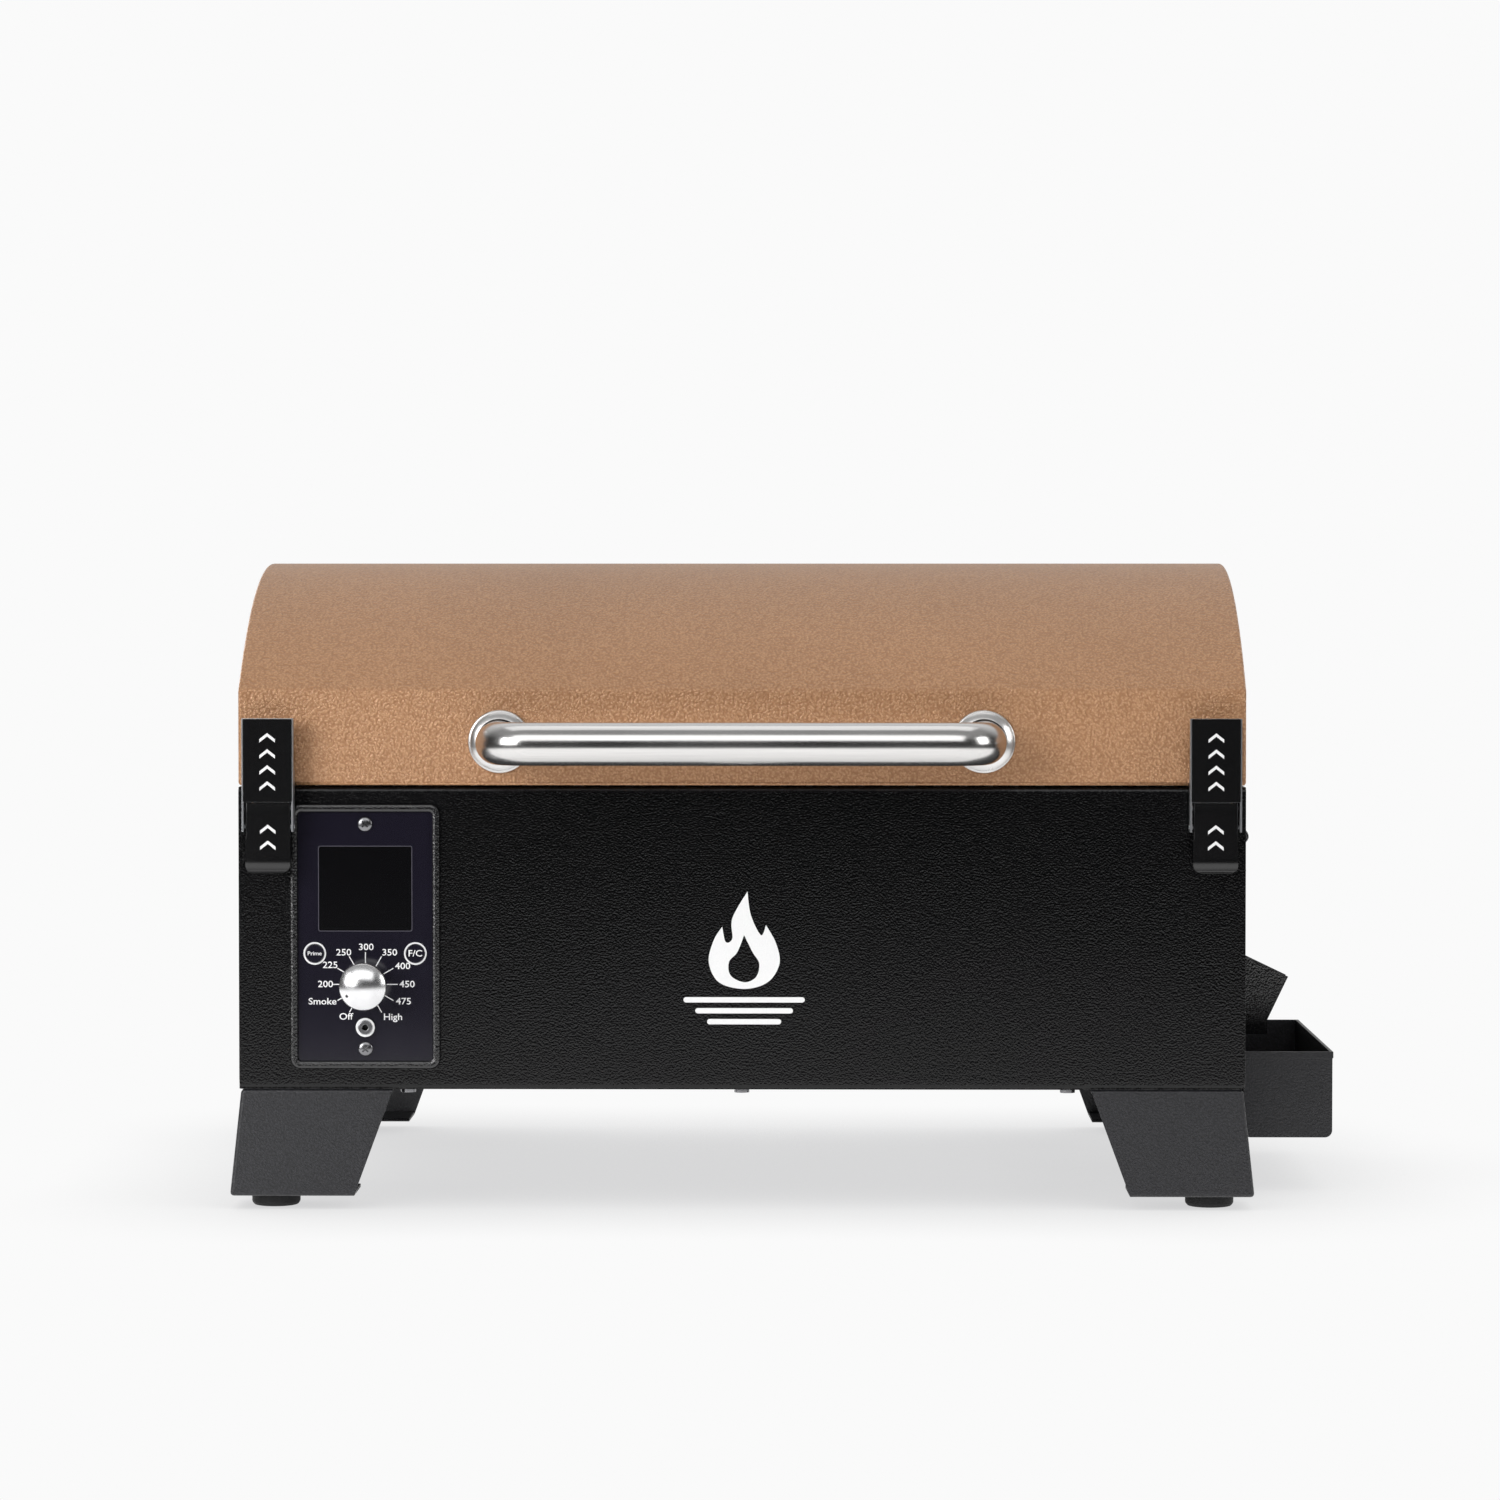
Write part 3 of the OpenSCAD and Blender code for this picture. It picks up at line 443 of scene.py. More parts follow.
def plate(name, outline, place, depth, holes=()):
    """A flat outline of (u, v) points, less its holes, made `depth` thick; place(u, v, d) sets it."""
    bm = bmesh.new()
    for loop in (outline, *holes):
        corners = [bm.verts.new((u, v, 0)) for u, v in loop]
        for i in range(len(corners)):
            bm.edges.new((corners[i - 1], corners[i]))
    bmesh.ops.triangle_fill(bm, use_beauty=True, edges=bm.edges[:])
    raised = bmesh.ops.extrude_face_region(bm, geom=bm.faces[:])["geom"]
    for part in raised:
        if isinstance(part, bmesh.types.BMVert):
            part.co.z = depth
    for vert in bm.verts:
        vert.co = place(*vert.co)
    bmesh.ops.recalc_face_normals(bm, faces=bm.faces)
    mesh = bpy.data.meshes.new(name)
    bm.to_mesh(mesh)
    bm.free()
    obj = bpy.data.objects.new(name, mesh)
    bpy.context.collection.objects.link(obj)
    return obj


def on_front(y, cx=CENTRE_X, cz=0.0):
    """Sets (u, v, d) out from a point on the plane at depth y, with d growing to the front."""
    return lambda u, v, d: Vector((cx + u, y - d, cz + v))


def join(name, pieces):
    """One object from several, each with its own transform applied."""
    bm = bmesh.new()
    for piece in pieces:
        part = piece.data.copy()
        part.transform(piece.matrix_world)
        bm.from_mesh(part)
        bpy.data.meshes.remove(part)
        bpy.data.objects.remove(piece)
    mesh = bpy.data.meshes.new(name)
    bm.to_mesh(mesh)
    bm.free()
    obj = bpy.data.objects.new(name, mesh)
    bpy.context.collection.objects.link(obj)
    return obj


def word(text, x, y, z, size, wide):
    """Flat printed letters facing the front, centred on x and z and stretched `wide` times."""
    curve = bpy.data.curves.new(text, "FONT")
    curve.body = text
    curve.size = size
    curve.align_x = "CENTER"
    curve.align_y = "CENTER"
    curve.extrude = PRINT / 2
    curve.offset = size * 0.009
    curve.resolution_u = 3
    maker = bpy.data.objects.new(text, curve)
    bpy.context.collection.objects.link(maker)
    bpy.context.view_layer.update()
    mesh = bpy.data.meshes.new_from_object(maker)
    bpy.data.objects.remove(maker)
    upright = Matrix.Rotation(math.pi / 2, 4, "X") @ Matrix.Diagonal((wide, 1, 1, 1))
    mesh.transform(Matrix.Translation((x, y - PRINT / 2, z)) @ upright)
    obj = bpy.data.objects.new("word", mesh)
    bpy.context.collection.objects.link(obj)
    return obj


# ---------------------------------------------------------------------------
# Camera, lights and floor
# ---------------------------------------------------------------------------

CAMERA_AT = at(43, -3000, 378)
CAMERA_AIM = at(5, 0, 274)
LENS = 121.5
BACKDROP = srgb(250, 250, 250)
TABLE_REACH = 0.95
TABLE_FADE = 0.25


def make_camera():
    data = bpy.data.cameras.new("camera")
    data.lens = LENS
    data.sensor_width = 36
    data.clip_end = 100
    camera = bpy.data.objects.new("camera", data)
    camera.location = CAMERA_AT
    camera.rotation_euler = (CAMERA_AIM - CAMERA_AT).to_track_quat("-Z", "Y").to_euler()
    bpy.context.collection.objects.link(camera)
    bpy.context.scene.camera = camera


def area_light(name, place, aim, size, power):
    data = bpy.data.lights.new(name, "AREA")
    data.shape = "RECTANGLE"
    data.size, data.size_y = size
    data.energy = power
    light = bpy.data.objects.new(name, data)
    light.location = place
    light.rotation_euler = (aim - place).to_track_quat("-Z", "Y").to_euler()
    bpy.context.collection.objects.link(light)


def add_node(tree, kind, **settings):
    node = tree.nodes.new(kind)
    for key, value in settings.items():
        setattr(node, key, value)
    return node


def ramp(tree, value, span, result):
    """Carries `value` from the range `span` to the range `result`."""
    node = add_node(tree, "ShaderNodeMapRange")
    for key, number in zip(("From Min", "From Max", "To Min", "To Max"), (*span, *result)):
        node.inputs[key].default_value = number
    tree.links.new(value, node.inputs["Value"])
    return node.outputs["Result"]


def for_camera(tree, light, picture, out):
    """Sends one shader to the camera and another one to every other ray."""
    ray = add_node(tree, "ShaderNodeLightPath")
    pick = add_node(tree, "ShaderNodeMixShader")
    tree.links.new(ray.outputs["Is Camera Ray"], pick.inputs[0])
    tree.links.new(light, pick.inputs[1])
    tree.links.new(picture, pick.inputs[2])
    tree.links.new(pick.outputs[0], out.inputs[0])


def make_floor():
    """Pale floor: it lights the grill like a white table in a dim room, and is seen as an even
    white with a soft contact shadow."""
    reach = 30
    corners = [(-reach, -reach, 0), (reach, -reach, 0), (reach, reach, 0), (-reach, reach, 0)]
    floor = mesh_piece("floor", corners, [(0, 1, 2, 3)])
    material = bpy.data.materials.new("pale_floor")
    material.use_nodes = True
    tree = material.node_tree
    tree.nodes.clear()
    out = add_node(tree, "ShaderNodeOutputMaterial")
    seen = add_node(tree, "ShaderNodeEmission")
    contact = add_node(tree, "ShaderNodeAmbientOcclusion", samples=8)
    contact.inputs["Distance"].default_value = 0.16
    tone = add_node(tree, "ShaderNodeMix", data_type="RGBA")
    tone.inputs[6].default_value = srgb(205, 205, 206)
    tone.inputs[7].default_value = BACKDROP
    tree.links.new(contact.outputs["AO"], tone.inputs[0])
    tree.links.new(tone.outputs[2], seen.inputs["Color"])
    lit = add_node(tree, "ShaderNodeBsdfDiffuse")
    coords = add_node(tree, "ShaderNodeTexCoord")
    distance = add_node(tree, "ShaderNodeVectorMath", operation="LENGTH")
    tree.links.new(coords.outputs["Object"], distance.inputs[0])
    edge = ramp(tree, distance.outputs["Value"], (TABLE_REACH, TABLE_REACH + TABLE_FADE),
                (0.85, 0.03))
    tree.links.new(edge, lit.inputs["Color"])
    glow = add_node(tree, "ShaderNodeEmission")
    glow.inputs["Color"].default_value = (0.62, 0.62, 0.62, 1)
    tree.links.new(edge, glow.inputs["Strength"])
    bounce = add_node(tree, "ShaderNodeAddShader")
    tree.links.new(lit.outputs[0], bounce.inputs[0])
    tree.links.new(glow.outputs[0], bounce.inputs[1])
    for_camera(tree, bounce.outputs[0], seen.outputs[0], out)
    floor.data.materials.append(material)


def make_world():
    """White to the camera; for light, a dim room, brighter overhead and behind the grill."""
    world = bpy.data.worlds.new("studio")
    world.use_nodes = True
    tree = world.node_tree
    tree.nodes.clear()
    out = add_node(tree, "ShaderNodeOutputWorld")
    white = add_node(tree, "ShaderNodeBackground")
    white.inputs["Color"].default_value = BACKDROP
    room = add_node(tree, "ShaderNodeBackground")
    coords = add_node(tree, "ShaderNodeTexCoord")
    split = add_node(tree, "ShaderNodeSeparateXYZ")
    tree.links.new(coords.outputs["Generated"], split.inputs[0])
    total = add_node(tree, "ShaderNodeMath", operation="ADD")
    tree.links.new(ramp(tree, split.outputs["Z"], (0.35, 0.7), (0.03, 0.42)), total.inputs[0])
    tree.links.new(ramp(tree, split.outputs["Y"], (0.2, 0.7), (0.0, 0.7)), total.inputs[1])
    tree.links.new(total.outputs[0], room.inputs["Strength"])
    for_camera(tree, room.outputs[0], white.outputs[0], out)
    bpy.context.scene.world = world


def make_lights():
    middle = at(0, 150, 220)
    area_light("key", at(-1900, -1850, 950), middle, (1.5, 1.3), 46)
    area_light("side", at(2300, -800, 950), middle, (0.9, 1.2), 15)
    area_light("front", at(-200, -2400, 1950), middle, (3.4, 1.55), 26)
    area_light("top", at(0, 300, 2400), middle, (2.4, 1.2), 8)
    area_light("rear_left", at(-2000, 2300, 1000), middle, (1.2, 1.3), 22)
    area_light("rear_right", at(2100, 2200, 900), middle, (1.0, 1.3), 13)


make_camera()
make_floor()
make_world()
make_lights()
bpy.context.scene.view_settings.view_transform = "Standard"

# ---------------------------------------------------------------------------
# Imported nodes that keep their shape: a finish and softened edges
# ---------------------------------------------------------------------------

OWN_FINISHES = {"hopper_lid": TOP_BLACK, "control_bezel": RIDGE, "drip_chute": RIDGE,
                "cabinet_fasteners": SCREW}
SOFT_EDGES = {
    0.45 * MM: ["left_side_panel", "right_side_panel", "rear_panel", "bottom_pan",
                "hopper_divider", "firebox_liner", "control_box", "flame_broiler_plate",
                "drip_chute", "bucket_bracket", "latch_bases", "bail_brackets",
                "hopper_bin", "hopper_hinge_leaves", "lid_hinge_leaves",
                "lid_hinge_straps", "latch_keepers", "fan_housing", "auger_motor",
                "broiler_slider", "burn_pot", "auger_tube", "cabinet_fasteners"],
    0.3 * MM: ["control_plate", "display_window", "probe_jack",
               "prime_button", "unit_button", "igniter_rod", "hopper_guard",
               "left_latch_claw", "right_latch_claw"],
    0.4 * MM: ["grease_bucket"],
    0.7 * MM: ["cord_gland", "rubber_feet"],
    0.9 * MM: ["hopper_lid"],
    1.6 * MM: ["control_bezel"],
}


def dress_cad():
    slots = {row["node"]: row["material_slot"] for row in frame["record"]["subparts"]}
    for node, obj in frame["nodes"].items():
        obj.data.materials.clear()
        obj.data.materials.append(OWN_FINISHES.get(node, FINISHES[slots[node]]))
    for width, nodes in SOFT_EDGES.items():
        for node in nodes:
            soften(frame["nodes"][node], width)


dress_cad()

# ---------------------------------------------------------------------------
# Bent sheets: the lid, the front panel and the legs
# ---------------------------------------------------------------------------

SHEET = 1.0 * MM
LID_RADIUS = 285 * MM
LID_ARCH_Y = 193 * MM
HEM = 11 * MM


def make_lid():
    """Flat front, crease and arch in one sheet, closed by its two ends, with a hem turned in."""
    low, high = node_box("lid_shell")
    end_low, end_high = node_box("lid_ends")
    middle = low.y + LID_ARCH_Y
    centre_z = high.z - LID_RADIUS
    crease_z = centre_z + math.sqrt(LID_RADIUS ** 2 - LID_ARCH_Y ** 2)
    start = math.degrees(math.atan2(crease_z - centre_z, low.y - middle))
    stop = math.degrees(math.acos((high.y - middle) / LID_RADIUS))
    outline = [(low.y, low.z)] + arc((middle, centre_z), LID_RADIUS, start, stop, 80)
    corner_z = outline[-1][1]
    skirt = [(end_high.y, corner_z - 6 * MM), (end_high.y, low.z)]
    count = len(outline)
    ring = count + len(skirt)
    verts = [(x, y, z) for x in (end_low.x, end_high.x) for y, z in outline + skirt]
    faces = [(i, i + 1, ring + i + 1, ring + i) for i in range(count - 1)]
    faces += [tuple(range(ring)), tuple(range(ring, 2 * ring))]
    hem = [(end_low.x + HEM, end_high.y, low.z), (end_low.x + HEM, low.y + HEM, low.z),
           (end_high.x - HEM, low.y + HEM, low.z), (end_high.x - HEM, end_high.y, low.z)]
    verts += hem
    first = 2 * ring
    faces += [(0, ring - 1, first, first + 1), (0, first + 1, first + 2, ring),
              (ring, first + 2, first + 3, 2 * ring - 1)]
    lid = mesh_piece("lid_skin", verts, faces)
    round_edges(lid, 1.8 * MM, segments=4, angle=25)
    thicken(lid, SHEET)
    even_shading(lid)
    finish_piece(lid, "lid", COPPER, ["lid_shell", "lid_ends"])
    bead_r = 1.0 * MM
    ends = [Vector((x, low.y + 0.4 * MM, low.z + bead_r)) for x in (low.x, high.x)]
    bead = tube("lid_hem_bead", ends, bead_r, segments=20)
    finish_piece(bead, "lid", COPPER)


def make_front_panel():
    """The front sheet, bent back along its top and its foot, with round lower corners."""
    low, high = front_low, front_high
    bend, corner = 3.0 * MM, 4.0 * MM
    top_back, foot_back = low.y + 14 * MM, low.y + 16 * MM
    profile = [(top_back, high.z)]
    profile += arc((low.y + bend, high.z - bend), bend, 90, 180, 6)
    profile += [(low.y, low.z + 60 * MM), (low.y, low.z + 2 * bend)]
    profile += arc((low.y + bend, low.z + bend), bend, 180, 270, 6)
    profile += [(foot_back, low.z)]
    verts = []
    for y, z in profile:
        rise = max(corner - (z - low.z), 0)
        inset = corner - math.sqrt(corner ** 2 - rise ** 2)
        if y > low.y + bend:
            inset = corner
        verts += [(low.x + inset, y, z), (high.x - inset, y, z)]
    faces = [(2 * i, 2 * i + 1, 2 * i + 3, 2 * i + 2) for i in range(len(profile) - 1)]
    panel = mesh_piece("front_skin", verts, faces)
    thicken(panel, SHEET)
    round_edges(panel, 0.9 * MM, 3, angle=50)
    even_shading(panel)
    finish_piece(panel, "root", BLACK, ["front_panel"])


def make_leg(node, side, rear):
    """A folded leg: a tapered front, a leaning side, a top flange and a foot flange."""
    low, high = node_box(node)
    mirror_y = (lambda y: high.y - (y - low.y)) if rear else (lambda y: y)
    face_y = low.y + 1.2 * MM
    outer = high.x if side > 0 else low.x
    run = lambda mm: outer - side * mm * MM
    top, foot = high.z, low.z
    spots = {
        "top_outer": (run(8.2), face_y, top), "top_inner": (run(98.7), face_y, top),
        "foot_inner": (run(75.2), face_y, foot), "foot_outer": (run(1.2), face_y, foot),
        "top_outer_back": (run(8.2), face_y + 62 * MM, top),
        "foot_outer_back": (run(1.2), face_y + 47 * MM, foot),
        "top_inner_back": (run(94.7), face_y + 62 * MM, top),
        "foot_inner_back": (run(75.2), face_y + 47 * MM, foot),
    }
    names = list(spots)
    verts = [(x, mirror_y(y), z) for x, y, z in spots.values()]
    loops = [("top_outer", "top_inner", "foot_inner", "foot_outer"),
             ("top_outer", "foot_outer", "foot_outer_back", "top_outer_back"),
             ("top_outer", "top_outer_back", "top_inner_back", "top_inner"),
             ("foot_outer", "foot_inner", "foot_inner_back", "foot_outer_back")]
    faces = [tuple(names.index(n) for n in loop) for loop in loops]
    leg = mesh_piece(node + "_sheet", verts, faces)
    round_edges(leg, 2.4 * MM, segments=4, angle=25)
    thicken(leg, 2 * MM)
    even_shading(leg)
    finish_piece(leg, "root", FLOOR_LIT_BLACK, [node])


make_lid()
make_front_panel()
for leg_node, leg_side, leg_rear in (("front_left_leg", -1, False), ("front_right_leg", 1, False),
                                     ("rear_left_leg", -1, True), ("rear_right_leg", 1, True)):
    make_leg(leg_node, leg_side, leg_rear)

# ---------------------------------------------------------------------------
# Handle and its bezels
# ---------------------------------------------------------------------------


def make_handle():
    low, high = node_box("lid_handle")
    radius = (high.z - low.z) / 2
    turn = 20 * MM
    z = (low.z + high.z) / 2
    bar_y = low.y + radius
    left, right = low.x + radius, high.x - radius
    path = [Vector((left, high.y, z))]
    path += [Vector((x, y, z)) for x, y in arc((left + turn, bar_y + turn), turn, 180, 270, 14)]
    steps = 12
    inner = (right - turn) - (left + turn)
    path += [Vector((left + turn + inner * i / steps, bar_y, z)) for i in range(1, steps)]
    path += [Vector((x, y, z)) for x, y in arc((right - turn, bar_y + turn), turn, 270, 360, 14)]
    path.append(Vector((right, high.y, z)))
    finish_piece(tube("handle_tube", path, radius, segments=56), "lid", STEEL,
                 ["lid_handle"])
    profile = [(13.0, 0.2), (13.0, 5.6), (13.6, 6.2), (15.4, 5.2), (17.0, 3.9), (17.3, 3.3),
               (18.0, 3.3), (18.6, 2.8), (18.75, 2.0), (18.75, 0.2)]
    rings = []
    for x in (left, right):
        centre = Vector((x, high.y, z))
        ring = lathe("bezel", [(r * MM, h * MM) for r, h in profile], centre, (0, -1, 0),
                     closed=True, segments=72)
        rings.append(ring)
    bezels = join("handle_bezel_rings", rings)
    round_edges(bezels, 0.25 * MM, segments=2, angle=35)
    even_shading(bezels)
    finish_piece(bezels, "lid", BRIGHT, ["handle_bezels"])


make_handle()

# ---------------------------------------------------------------------------
# Control panel: dial marks, printed words, knob, buttons and the display's border
# ---------------------------------------------------------------------------

# Each setting: its word, its angle on the dial, and the word's place from the knob, in mm
DIAL_WORDS = (("Off", 240, -11.7, -19.3), ("Smoke", 210, -25.6, -10.3), ("200", 180, -23.8, 0),
              ("225", 150, -20.9, 11.4), ("250", 120, -12.9, 18.9), ("300", 90, 0.4, 22.1),
              ("350", 60, 14.4, 18.9), ("400", 30, 22.2, 10.8), ("450", 0, 24.8, 0),
              ("475", -30, 22.7, -10.2), ("High", -60, 16.3, -19.5))


def make_dial():
    """A tick at each setting's angle, and the setting beside it."""
    knob, face = node_centre("control_knob"), node_box("control_plate")[0].y
    start, stop, half = 12.6 * MM, 19.2 * MM, 0.28 * MM
    marks = []
    for text, angle, across, up in DIAL_WORDS:
        spin = Matrix.Rotation(math.radians(angle), 2)
        corners = ((start, -half), (stop, -half), (stop, half), (start, half))
        marks.append(plate("tick", [tuple(spin @ Vector(p)) for p in corners],
                           on_front(face, knob.x, knob.z), PRINT))
        marks.append(word(text, knob.x + across * MM, face, knob.z + up * MM, 5.5 * MM, 1.12))
    return marks


def ring_mark(x, y, z, outer, inner, sides=48):
    loops = [arc((0, 0), r, 0, 360 - 360 / sides, sides - 1) for r in (outer, inner)]
    return plate("ring", loops[0], on_front(y, x, z), PRINT, [loops[1]])


def make_control_print():
    face = node_box("control_plate")[0].y
    marks = make_dial()
    for node in ("prime_button", "unit_button"):
        spot = node_centre(node)
        marks.append(ring_mark(spot.x, face, spot.z, 6.75 * MM, 5.75 * MM))
    jack_low = node_box("probe_jack")[0]
    spot = node_centre("probe_jack")
    marks.append(ring_mark(spot.x, jack_low.y + 1.5 * MM, spot.z, 5.6 * MM, 4.3 * MM))
    finish_piece(join("dial_print", marks), "root", WHITE)
    for node, text, size in (("prime_button", "Prime", 3.3 * MM), ("unit_button", "F/C", 5.4 * MM)):
        spot = node_centre(node)
        label = word(text, spot.x, node_box(node)[0].y, spot.z, size, 1.1)
        label.name = node + "_word"
        finish_piece(label, node, WHITE)


def make_display_border():
    low, high = node_box("display_window")
    spot = node_centre("display_window")
    half_w, half_h = (high.x - low.x) / 2, (high.z - low.z) / 2
    line = 0.5 * MM
    outline = rounded_outline(half_w + line, half_h + line, 1.2 * MM)
    hole = rounded_outline(half_w, half_h, 0.9 * MM)
    border = plate("display_border", outline, on_front(node_box("control_plate")[0].y, spot.x, spot.z),
                   PRINT, [hole])
    finish_piece(border, "root", GREY_PRINT)


def make_knob():
    low, high = node_box("control_knob")
    spot = node_centre("control_knob")
    radius = (high.x - low.x) / 2
    depth, dome, lip = 24.3 * MM, 5.2 * MM, 0.5 * MM
    base = Vector((spot.x, low.y + depth, spot.z))
    rim = depth - dome
    ball = (radius ** 2 + dome ** 2) / (2 * dome)
    profile = [(11.6 * MM, 0.0), (12.0 * MM, 0.4 * MM), (12.3 * MM, 3.0 * MM),
               (13.3 * MM, rim - 2 * MM), (radius, rim - lip)]
    steps = 24
    reaches = [(radius - 0.15 * MM) * (1 - i / steps) for i in range(steps + 1)]
    profile += [(reach, depth - ball + math.sqrt(ball ** 2 - reach ** 2)) for reach in reaches]
    knob = lathe("knob_dome", profile, base, (0, -1, 0), segments=72)
    finish_piece(knob, "control_knob", CHROME, ["control_knob"])
    angle, reach = math.radians(210), 10.4 * MM
    sink = ball - math.sqrt(ball ** 2 - reach ** 2)
    foot = Vector((spot.x + reach * math.cos(angle), low.y + sink, spot.z + reach * math.sin(angle)))
    dot = lathe("knob_dot", [(0.9 * MM, -2.0 * MM), (0.9 * MM, 0.2 * MM), (0.5 * MM, 0.4 * MM)],
                foot, (0, -1, 0), segments=20)
    finish_piece(dot, "control_knob", PLASTIC)


def carve(obj, cutter):
    """Cuts one piece out of another and keeps the result as plain mesh."""
    cut = obj.modifiers.new("cut", "BOOLEAN")
    cut.operation = "DIFFERENCE"
    cut.object = cutter
    bpy.context.view_layer.update()
    graph = bpy.context.evaluated_depsgraph_get()
    mesh = bpy.data.meshes.new_from_object(obj.evaluated_get(graph))
    obj.modifiers.clear()
    obj.data = mesh
    bpy.data.objects.remove(cutter)
    return obj


def screw_head(radius, height):
    """A pan head with a cross recess, standing on the origin along +Z."""
    edge = height * 0.35
    profile = [(radius * 0.98, 0.0), (radius, edge * 0.5)]
    profile += [(radius * math.cos(math.pi / 2 * i / 10),
                 edge + (height - edge) * math.sin(math.pi / 2 * i / 10)) for i in range(11)]
    head = lathe("head", profile, Vector((0, 0, 0)), (0, 0, 1), segments=40)
    half_l, half_w = radius * 0.56, radius * 0.12
    outline = [(-half_l, -half_w), (half_l, -half_w), (half_l, half_w), (-half_l, half_w)]
    for turn in (45, 135):
        spin = Matrix.Rotation(math.radians(turn), 3, "Z")
        carve(head, plate("slot", outline, lambda u, v, d, spin=spin:
                          spin @ Vector((u, v, height * 0.4 + d)), height))
    return head


def domed_screws(name, body, spots, radius, height, node_names=()):
    """Pan-head screws, each on a (point, outward direction) spot."""
    pattern = screw_head(radius, height)
    heads = []
    for point, out in spots:
        mesh = pattern.data.copy()
        turn = Vector(out).to_track_quat("Z", "Y").to_matrix().to_4x4()
        mesh.transform(Matrix.Translation(point) @ turn)
        head = bpy.data.objects.new("head", mesh)
        bpy.context.collection.objects.link(head)
        heads.append(head)
    bpy.data.objects.remove(pattern)
    screws = join(name, heads)
    for polygon in screws.data.polygons:
        polygon.use_smooth = True
    screws.data.set_sharp_from_angle(angle=math.radians(35))
    finish_piece(screws, body, SCREW, node_names)


def make_panel_screws():
    low, high = node_box("control_screws")
    face = node_box("control_plate")[0].y
    x = (low.x + high.x) / 2
    radius = (high.x - low.x) / 2
    spots = [(Vector((x, face, z)), (0, -1, 0)) for z in (low.z + radius, high.z - radius)]
    domed_screws("panel_screw_heads", "root", spots, 4.3 * MM, 2.2 * MM, ["control_screws"])


def make_case_screws():
    """Heads on the rear panel, the hinge leaves and the carry bails' plates."""
    rear = [(at(x, 460, z), (0, 1, 0)) for x in (-286, 286) for z in (88, 206, 306)]
    rear += [(at(x, 460, 86), (0, 1, 0)) for x in (-120, 120)]
    domed_screws("rear_panel_screws", "root", rear, 3.4 * MM, 1.8 * MM)
    leaves = [(at(x + step, 461.5, 329), (0, 1, 0)) for x in (-180, 180) for step in (8, 25, 42)]
    leaves += [(at(x + step, 337, 331), (0, 1, 0)) for x in (-200, 200) for step in (10, 30, 50)]
    domed_screws("hinge_leaf_screws", "root", leaves, 3.0 * MM, 1.4 * MM)
    plates = [(at(side * 301, y + dy, 216 + dz), (side, 0, 0)) for side in (-1, 1)
              for y in (140, 250) for dy in (-9.2, 9.2) for dz in (-9.5, 9.5)]
    domed_screws("bail_plate_screws", "root", plates, 2.2 * MM, 1.1 * MM)


make_case_screws()
make_panel_screws()
make_control_print()
make_display_border()
make_knob()

# ---------------------------------------------------------------------------
# Front badge: a plain flame over grill bars
# ---------------------------------------------------------------------------


def smooth_loop(points, steps=8):
    """A closed curve through (u, v, sharp) points: Catmull-Rom, with tips where sharp is true."""
    count = len(points)
    curve = []
    for i in range(count):
        a, b = Vector(points[i][:2]), Vector(points[(i + 1) % count][:2])
        before = Vector(points[i - 1][:2]) if not points[i][2] else a
        after = Vector(points[(i + 2) % count][:2]) if not points[(i + 1) % count][2] else b
        leave, arrive = (b - before) / 2, (after - a) / 2
        for k in range(steps):
            t = k / steps
            curve.append((2 * t ** 3 - 3 * t ** 2 + 1) * a + (t ** 3 - 2 * t ** 2 + t) * leave
                         + (3 * t ** 2 - 2 * t ** 3) * b + (t ** 3 - t ** 2) * arrive)
    return [tuple(p) for p in curve]


FLAME = [(0, -24, False), (-15, -20, False), (-21, -8, False), (-18, 5, False), (-13, 13, True),
         (-11, 4, False), (-7, 6, False), (-7, 18, False), (2, 34, True), (4, 20, False),
         (10, 8, False), (13, 14, True), (19, 3, False), (21, -9, False), (14, -20, False)]
FLAME_HEART = [(0, -20, False), (-8, -16, False), (-9, -8, False), (-4, -2, False), (0, 8, True),
               (5, -2, False), (9, -9, False), (7, -17, False)]


def make_badge():
    z = (front_low.z + front_high.z) / 2 - 6 * MM
    place = on_front(FRONT_Y, CENTRE_X + 1.5 * MM, z)
    scaled = lambda points: [(u * MM, v * MM, tip) for u, v, tip in points]
    parts = [plate("flame", smooth_loop(scaled(FLAME)), place, 0.15 * MM,
                   [smooth_loop(scaled(FLAME_HEART))])]
    for i, half in enumerate((36, 29, 22)):
        bar = [(u, v - (30.5 + 6.5 * i) * MM)
               for u, v in rounded_outline(half * MM, 1.6 * MM, 1.55 * MM)]
        parts.append(plate("bar", bar, place, 0.15 * MM))
    finish_piece(join("front_badge", parts), "root", WHITE)


make_badge()

# ---------------------------------------------------------------------------
# Latches: lacquered faces on the steel, with plain chevrons
# ---------------------------------------------------------------------------


def chevrons(name, x, z, count, face, pitch=9.5 * MM):
    half, drop, bar = 4.6 * MM, 3.6 * MM, 2.0 * MM
    marks = []
    for i in range(count):
        v = z + (i - (count - 1) / 2) * pitch
        outline = [(-half, v - drop), (0, v), (half, v - drop), (half, v - drop + bar),
                   (0, v + bar), (-half, v - drop + bar)]
        marks.append(plate("chevron", outline, on_front(face, x), PRINT))
    return join(name, marks)


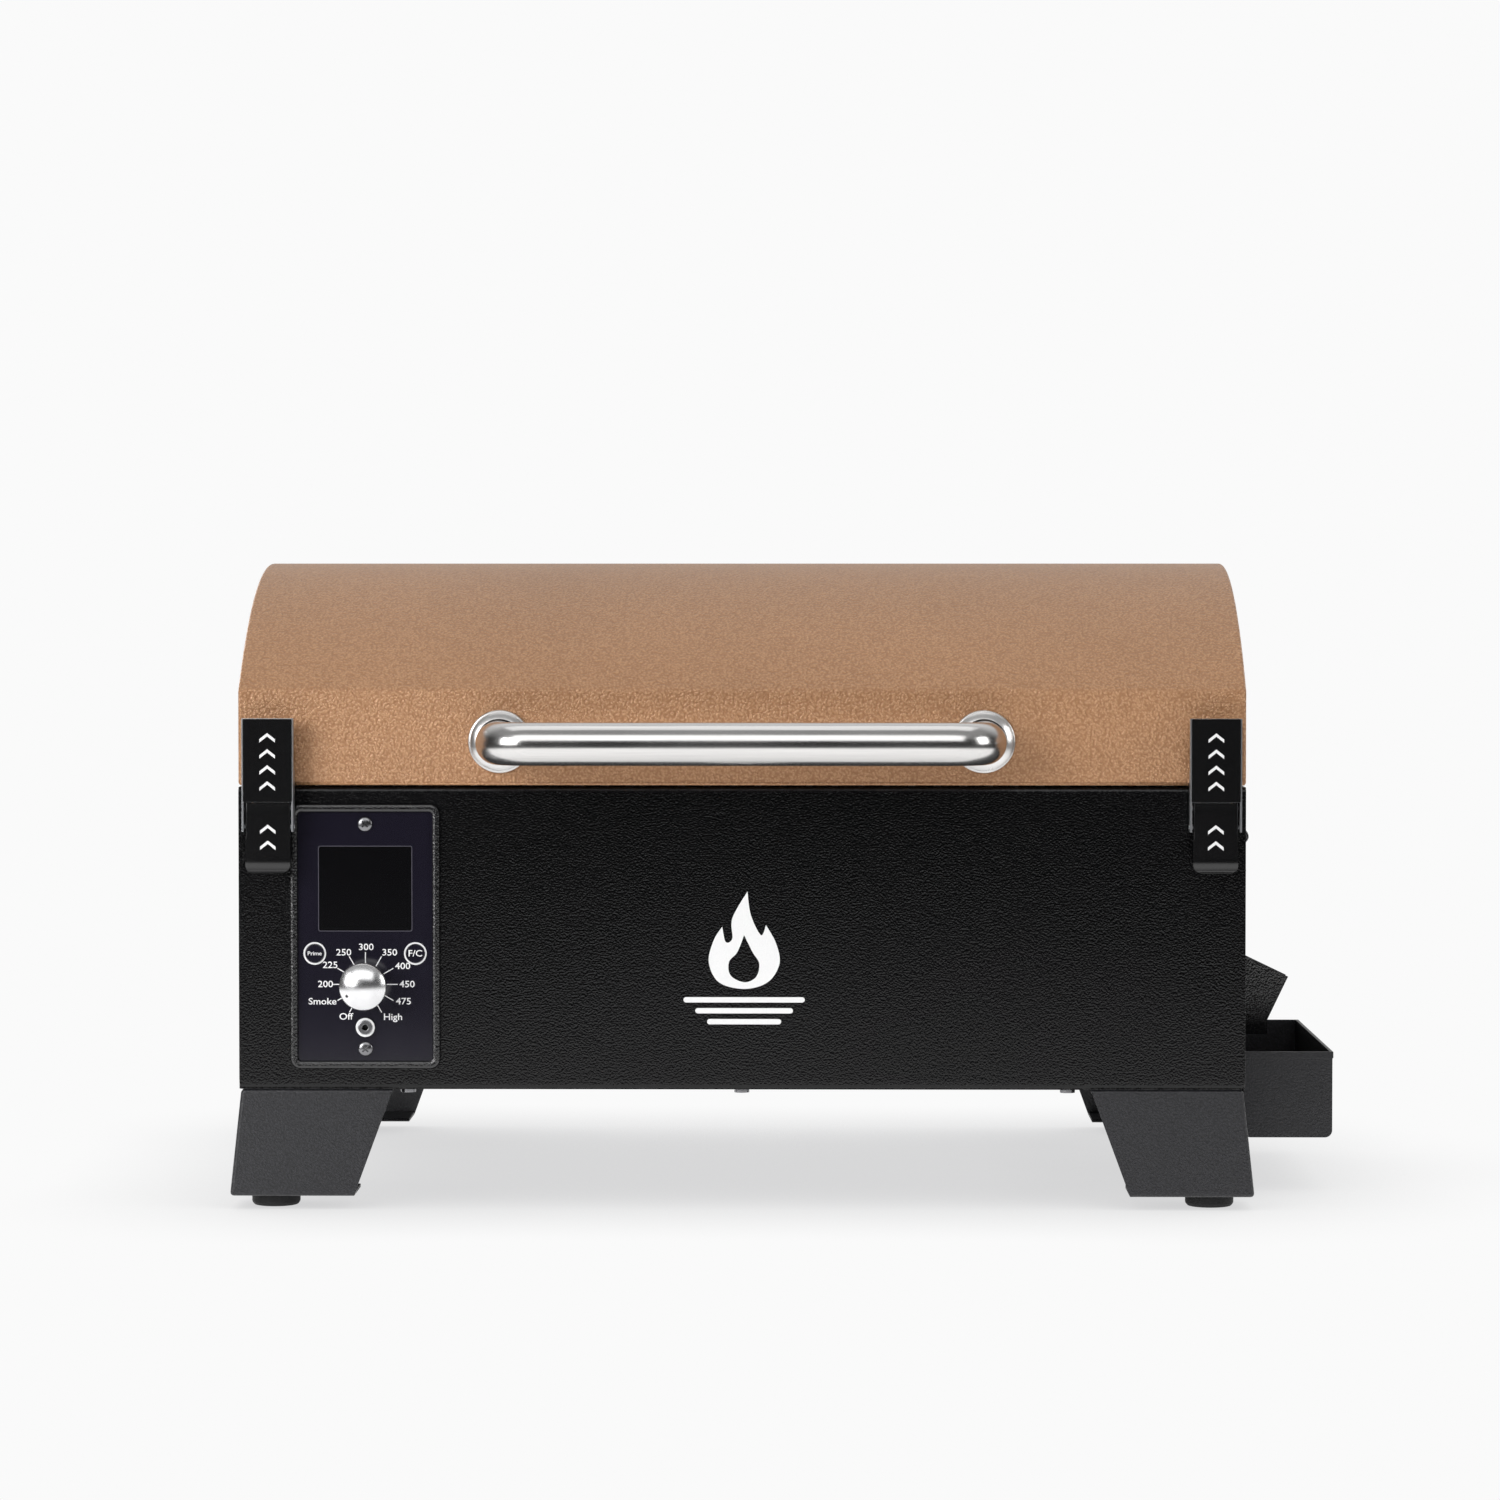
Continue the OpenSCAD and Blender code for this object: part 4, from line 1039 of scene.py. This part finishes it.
def make_claw(side):
    claw = side + "_latch_claw"
    low, high = node_box(claw)
    x = (low.x + high.x) / 2
    half = (high.x - low.x) / 2 - 0.9 * MM
    frame["nodes"][claw].data.materials[0] = ZINC
    foot, top = node_box(side + "_latch_lever")[1].z + 0.6 * MM, high.z - 0.2 * MM
    half_h = (top - foot) / 2
    face = plate(claw + "_face", rounded_outline(half, half_h, 0.8 * MM),
                 on_front(low.y, x, foot + half_h), 0.5 * MM)
    round_edges(face, 0.2 * MM, 2)
    finish_piece(face, claw, LATCH)
    marks = chevrons(claw + "_marks", x, foot + half_h, 4, low.y - 0.5 * MM)
    finish_piece(marks, claw, WHITE)


def make_lever(side):
    """A pressed lever: flat face, side ears folded back and a foot that flares out."""
    node = side + "_latch_lever"
    low, high = node_box(node)
    x = (low.x + high.x) / 2
    half, corner = 13.25 * MM, 4.5 * MM
    face_y, ear_back, ear_foot = low.y + 3.0 * MM, low.y + 11.0 * MM, low.z + 20 * MM
    levels = [high.z, high.z - 8 * MM, ear_foot]
    levels += [ear_foot - (ear_foot - low.z) * i / 14 for i in range(1, 15)]
    verts, faces = [], []
    for z in levels:
        lift = max(low.z + 8 * MM - z, 0) / (8 * MM)
        rise = max(low.z + corner - z, 0)
        inset = corner - math.sqrt(max(corner ** 2 - rise ** 2, 0))
        for u in (-half + inset, half - inset):
            verts.append((x + u, face_y - 3.0 * MM * lift ** 2, z))
    faces += [(2 * i, 2 * i + 1, 2 * i + 3, 2 * i + 2) for i in range(len(levels) - 1)]
    for side_index in (0, 1):
        first = len(verts)
        verts += [(verts[side_index + 2 * i][0], ear_back, levels[i]) for i in range(3)]
        faces += [(side_index + 2 * i, side_index + 2 * i + 2, first + i + 1, first + i)
                  for i in range(2)]
    lever = mesh_piece(node + "_sheet", verts, faces)
    round_edges(lever, 0.9 * MM, 3, angle=50)
    thicken(lever, 1.1 * MM)
    even_shading(lever)
    finish_piece(lever, node, LATCH, [node])
    pin = node_centre(side + "_latch_claw")
    pivot = at((pin.x - CENTRE_X) / MM, -9, 229)
    reach = Vector(((high.x - low.x) / 2, 0, 0))
    rod = tube(node + "_pin", [pivot - reach, pivot + reach], 1.5 * MM, segments=24)
    round_edges(rod, 0.3 * MM, 2, angle=50)
    finish_piece(rod, node, ZINC)
    marks = chevrons(node + "_marks", x, (low.z + high.z) / 2 + 1 * MM, 2, face_y)
    finish_piece(marks, node, WHITE)


for latch_side in ("left", "right"):
    make_claw(latch_side)
    make_lever(latch_side)

# ---------------------------------------------------------------------------
# Carry bails and the hopper's lid
# ---------------------------------------------------------------------------


def make_bail(side):
    """A bent wire with a ribbed rubber grip."""
    node = side + "_bail"
    low, high = node_box(node)
    x, y = (low.x + high.x) / 2, (low.y + high.y) / 2
    wire, grip, drop, turn = 3 * MM, (high.x - low.x) / 2, 23 * MM, 7 * MM
    half, arm = (high.y - low.y) / 2, 41 * MM
    pivot_z = high.z - wire
    run = [(-half, 0), (-arm - turn, 0)] + arc((-arm - turn, -turn), turn, 90, 0, 8)[1:]
    run += arc((turn - arm, turn - drop), turn, 180, 270, 8)
    run += [(-v, w) for v, w in reversed(run)]
    path = [Vector((x, y + v, pivot_z + w)) for v, w in run]
    rod = tube(node + "_wire", path, wire, segments=24)
    round_edges(rod, 0.5 * MM, 2, angle=50)
    finish_piece(rod, node, BRIGHT, [node])
    length, rib, profile = 64 * MM, 4 * MM, [(wire, 0), (grip - 0.8 * MM, 0), (grip, 0.8 * MM)]
    for i in range(1, round(length / rib)):
        profile += [(grip, i * rib - 0.7 * MM), (grip - 0.6 * MM, i * rib),
                    (grip, i * rib + 0.7 * MM)]
    profile += [(grip, length - 0.8 * MM), (grip - 0.8 * MM, length), (wire, length)]
    sleeve = lathe(node + "_grip", profile, Vector((x, y - length / 2, pivot_z - drop)), (0, 1, 0),
                   closed=True, segments=40)
    finish_piece(sleeve, node, RUBBER)


def make_lid_field():
    """The pressed field in the hopper's lid."""
    centre = at(0, 411, 349)
    field = plate("hopper_lid_field", rounded_outline(272 * MM, 37 * MM, 10 * MM),
                  lambda u, v, d: centre + Vector((u, v, d)), 1.0 * MM)
    round_edges(field, 0.8 * MM, 4)
    even_shading(field)
    finish_piece(field, "hopper_lid", TOP_BLACK)


make_bail("left")
make_bail("right")
make_lid_field()
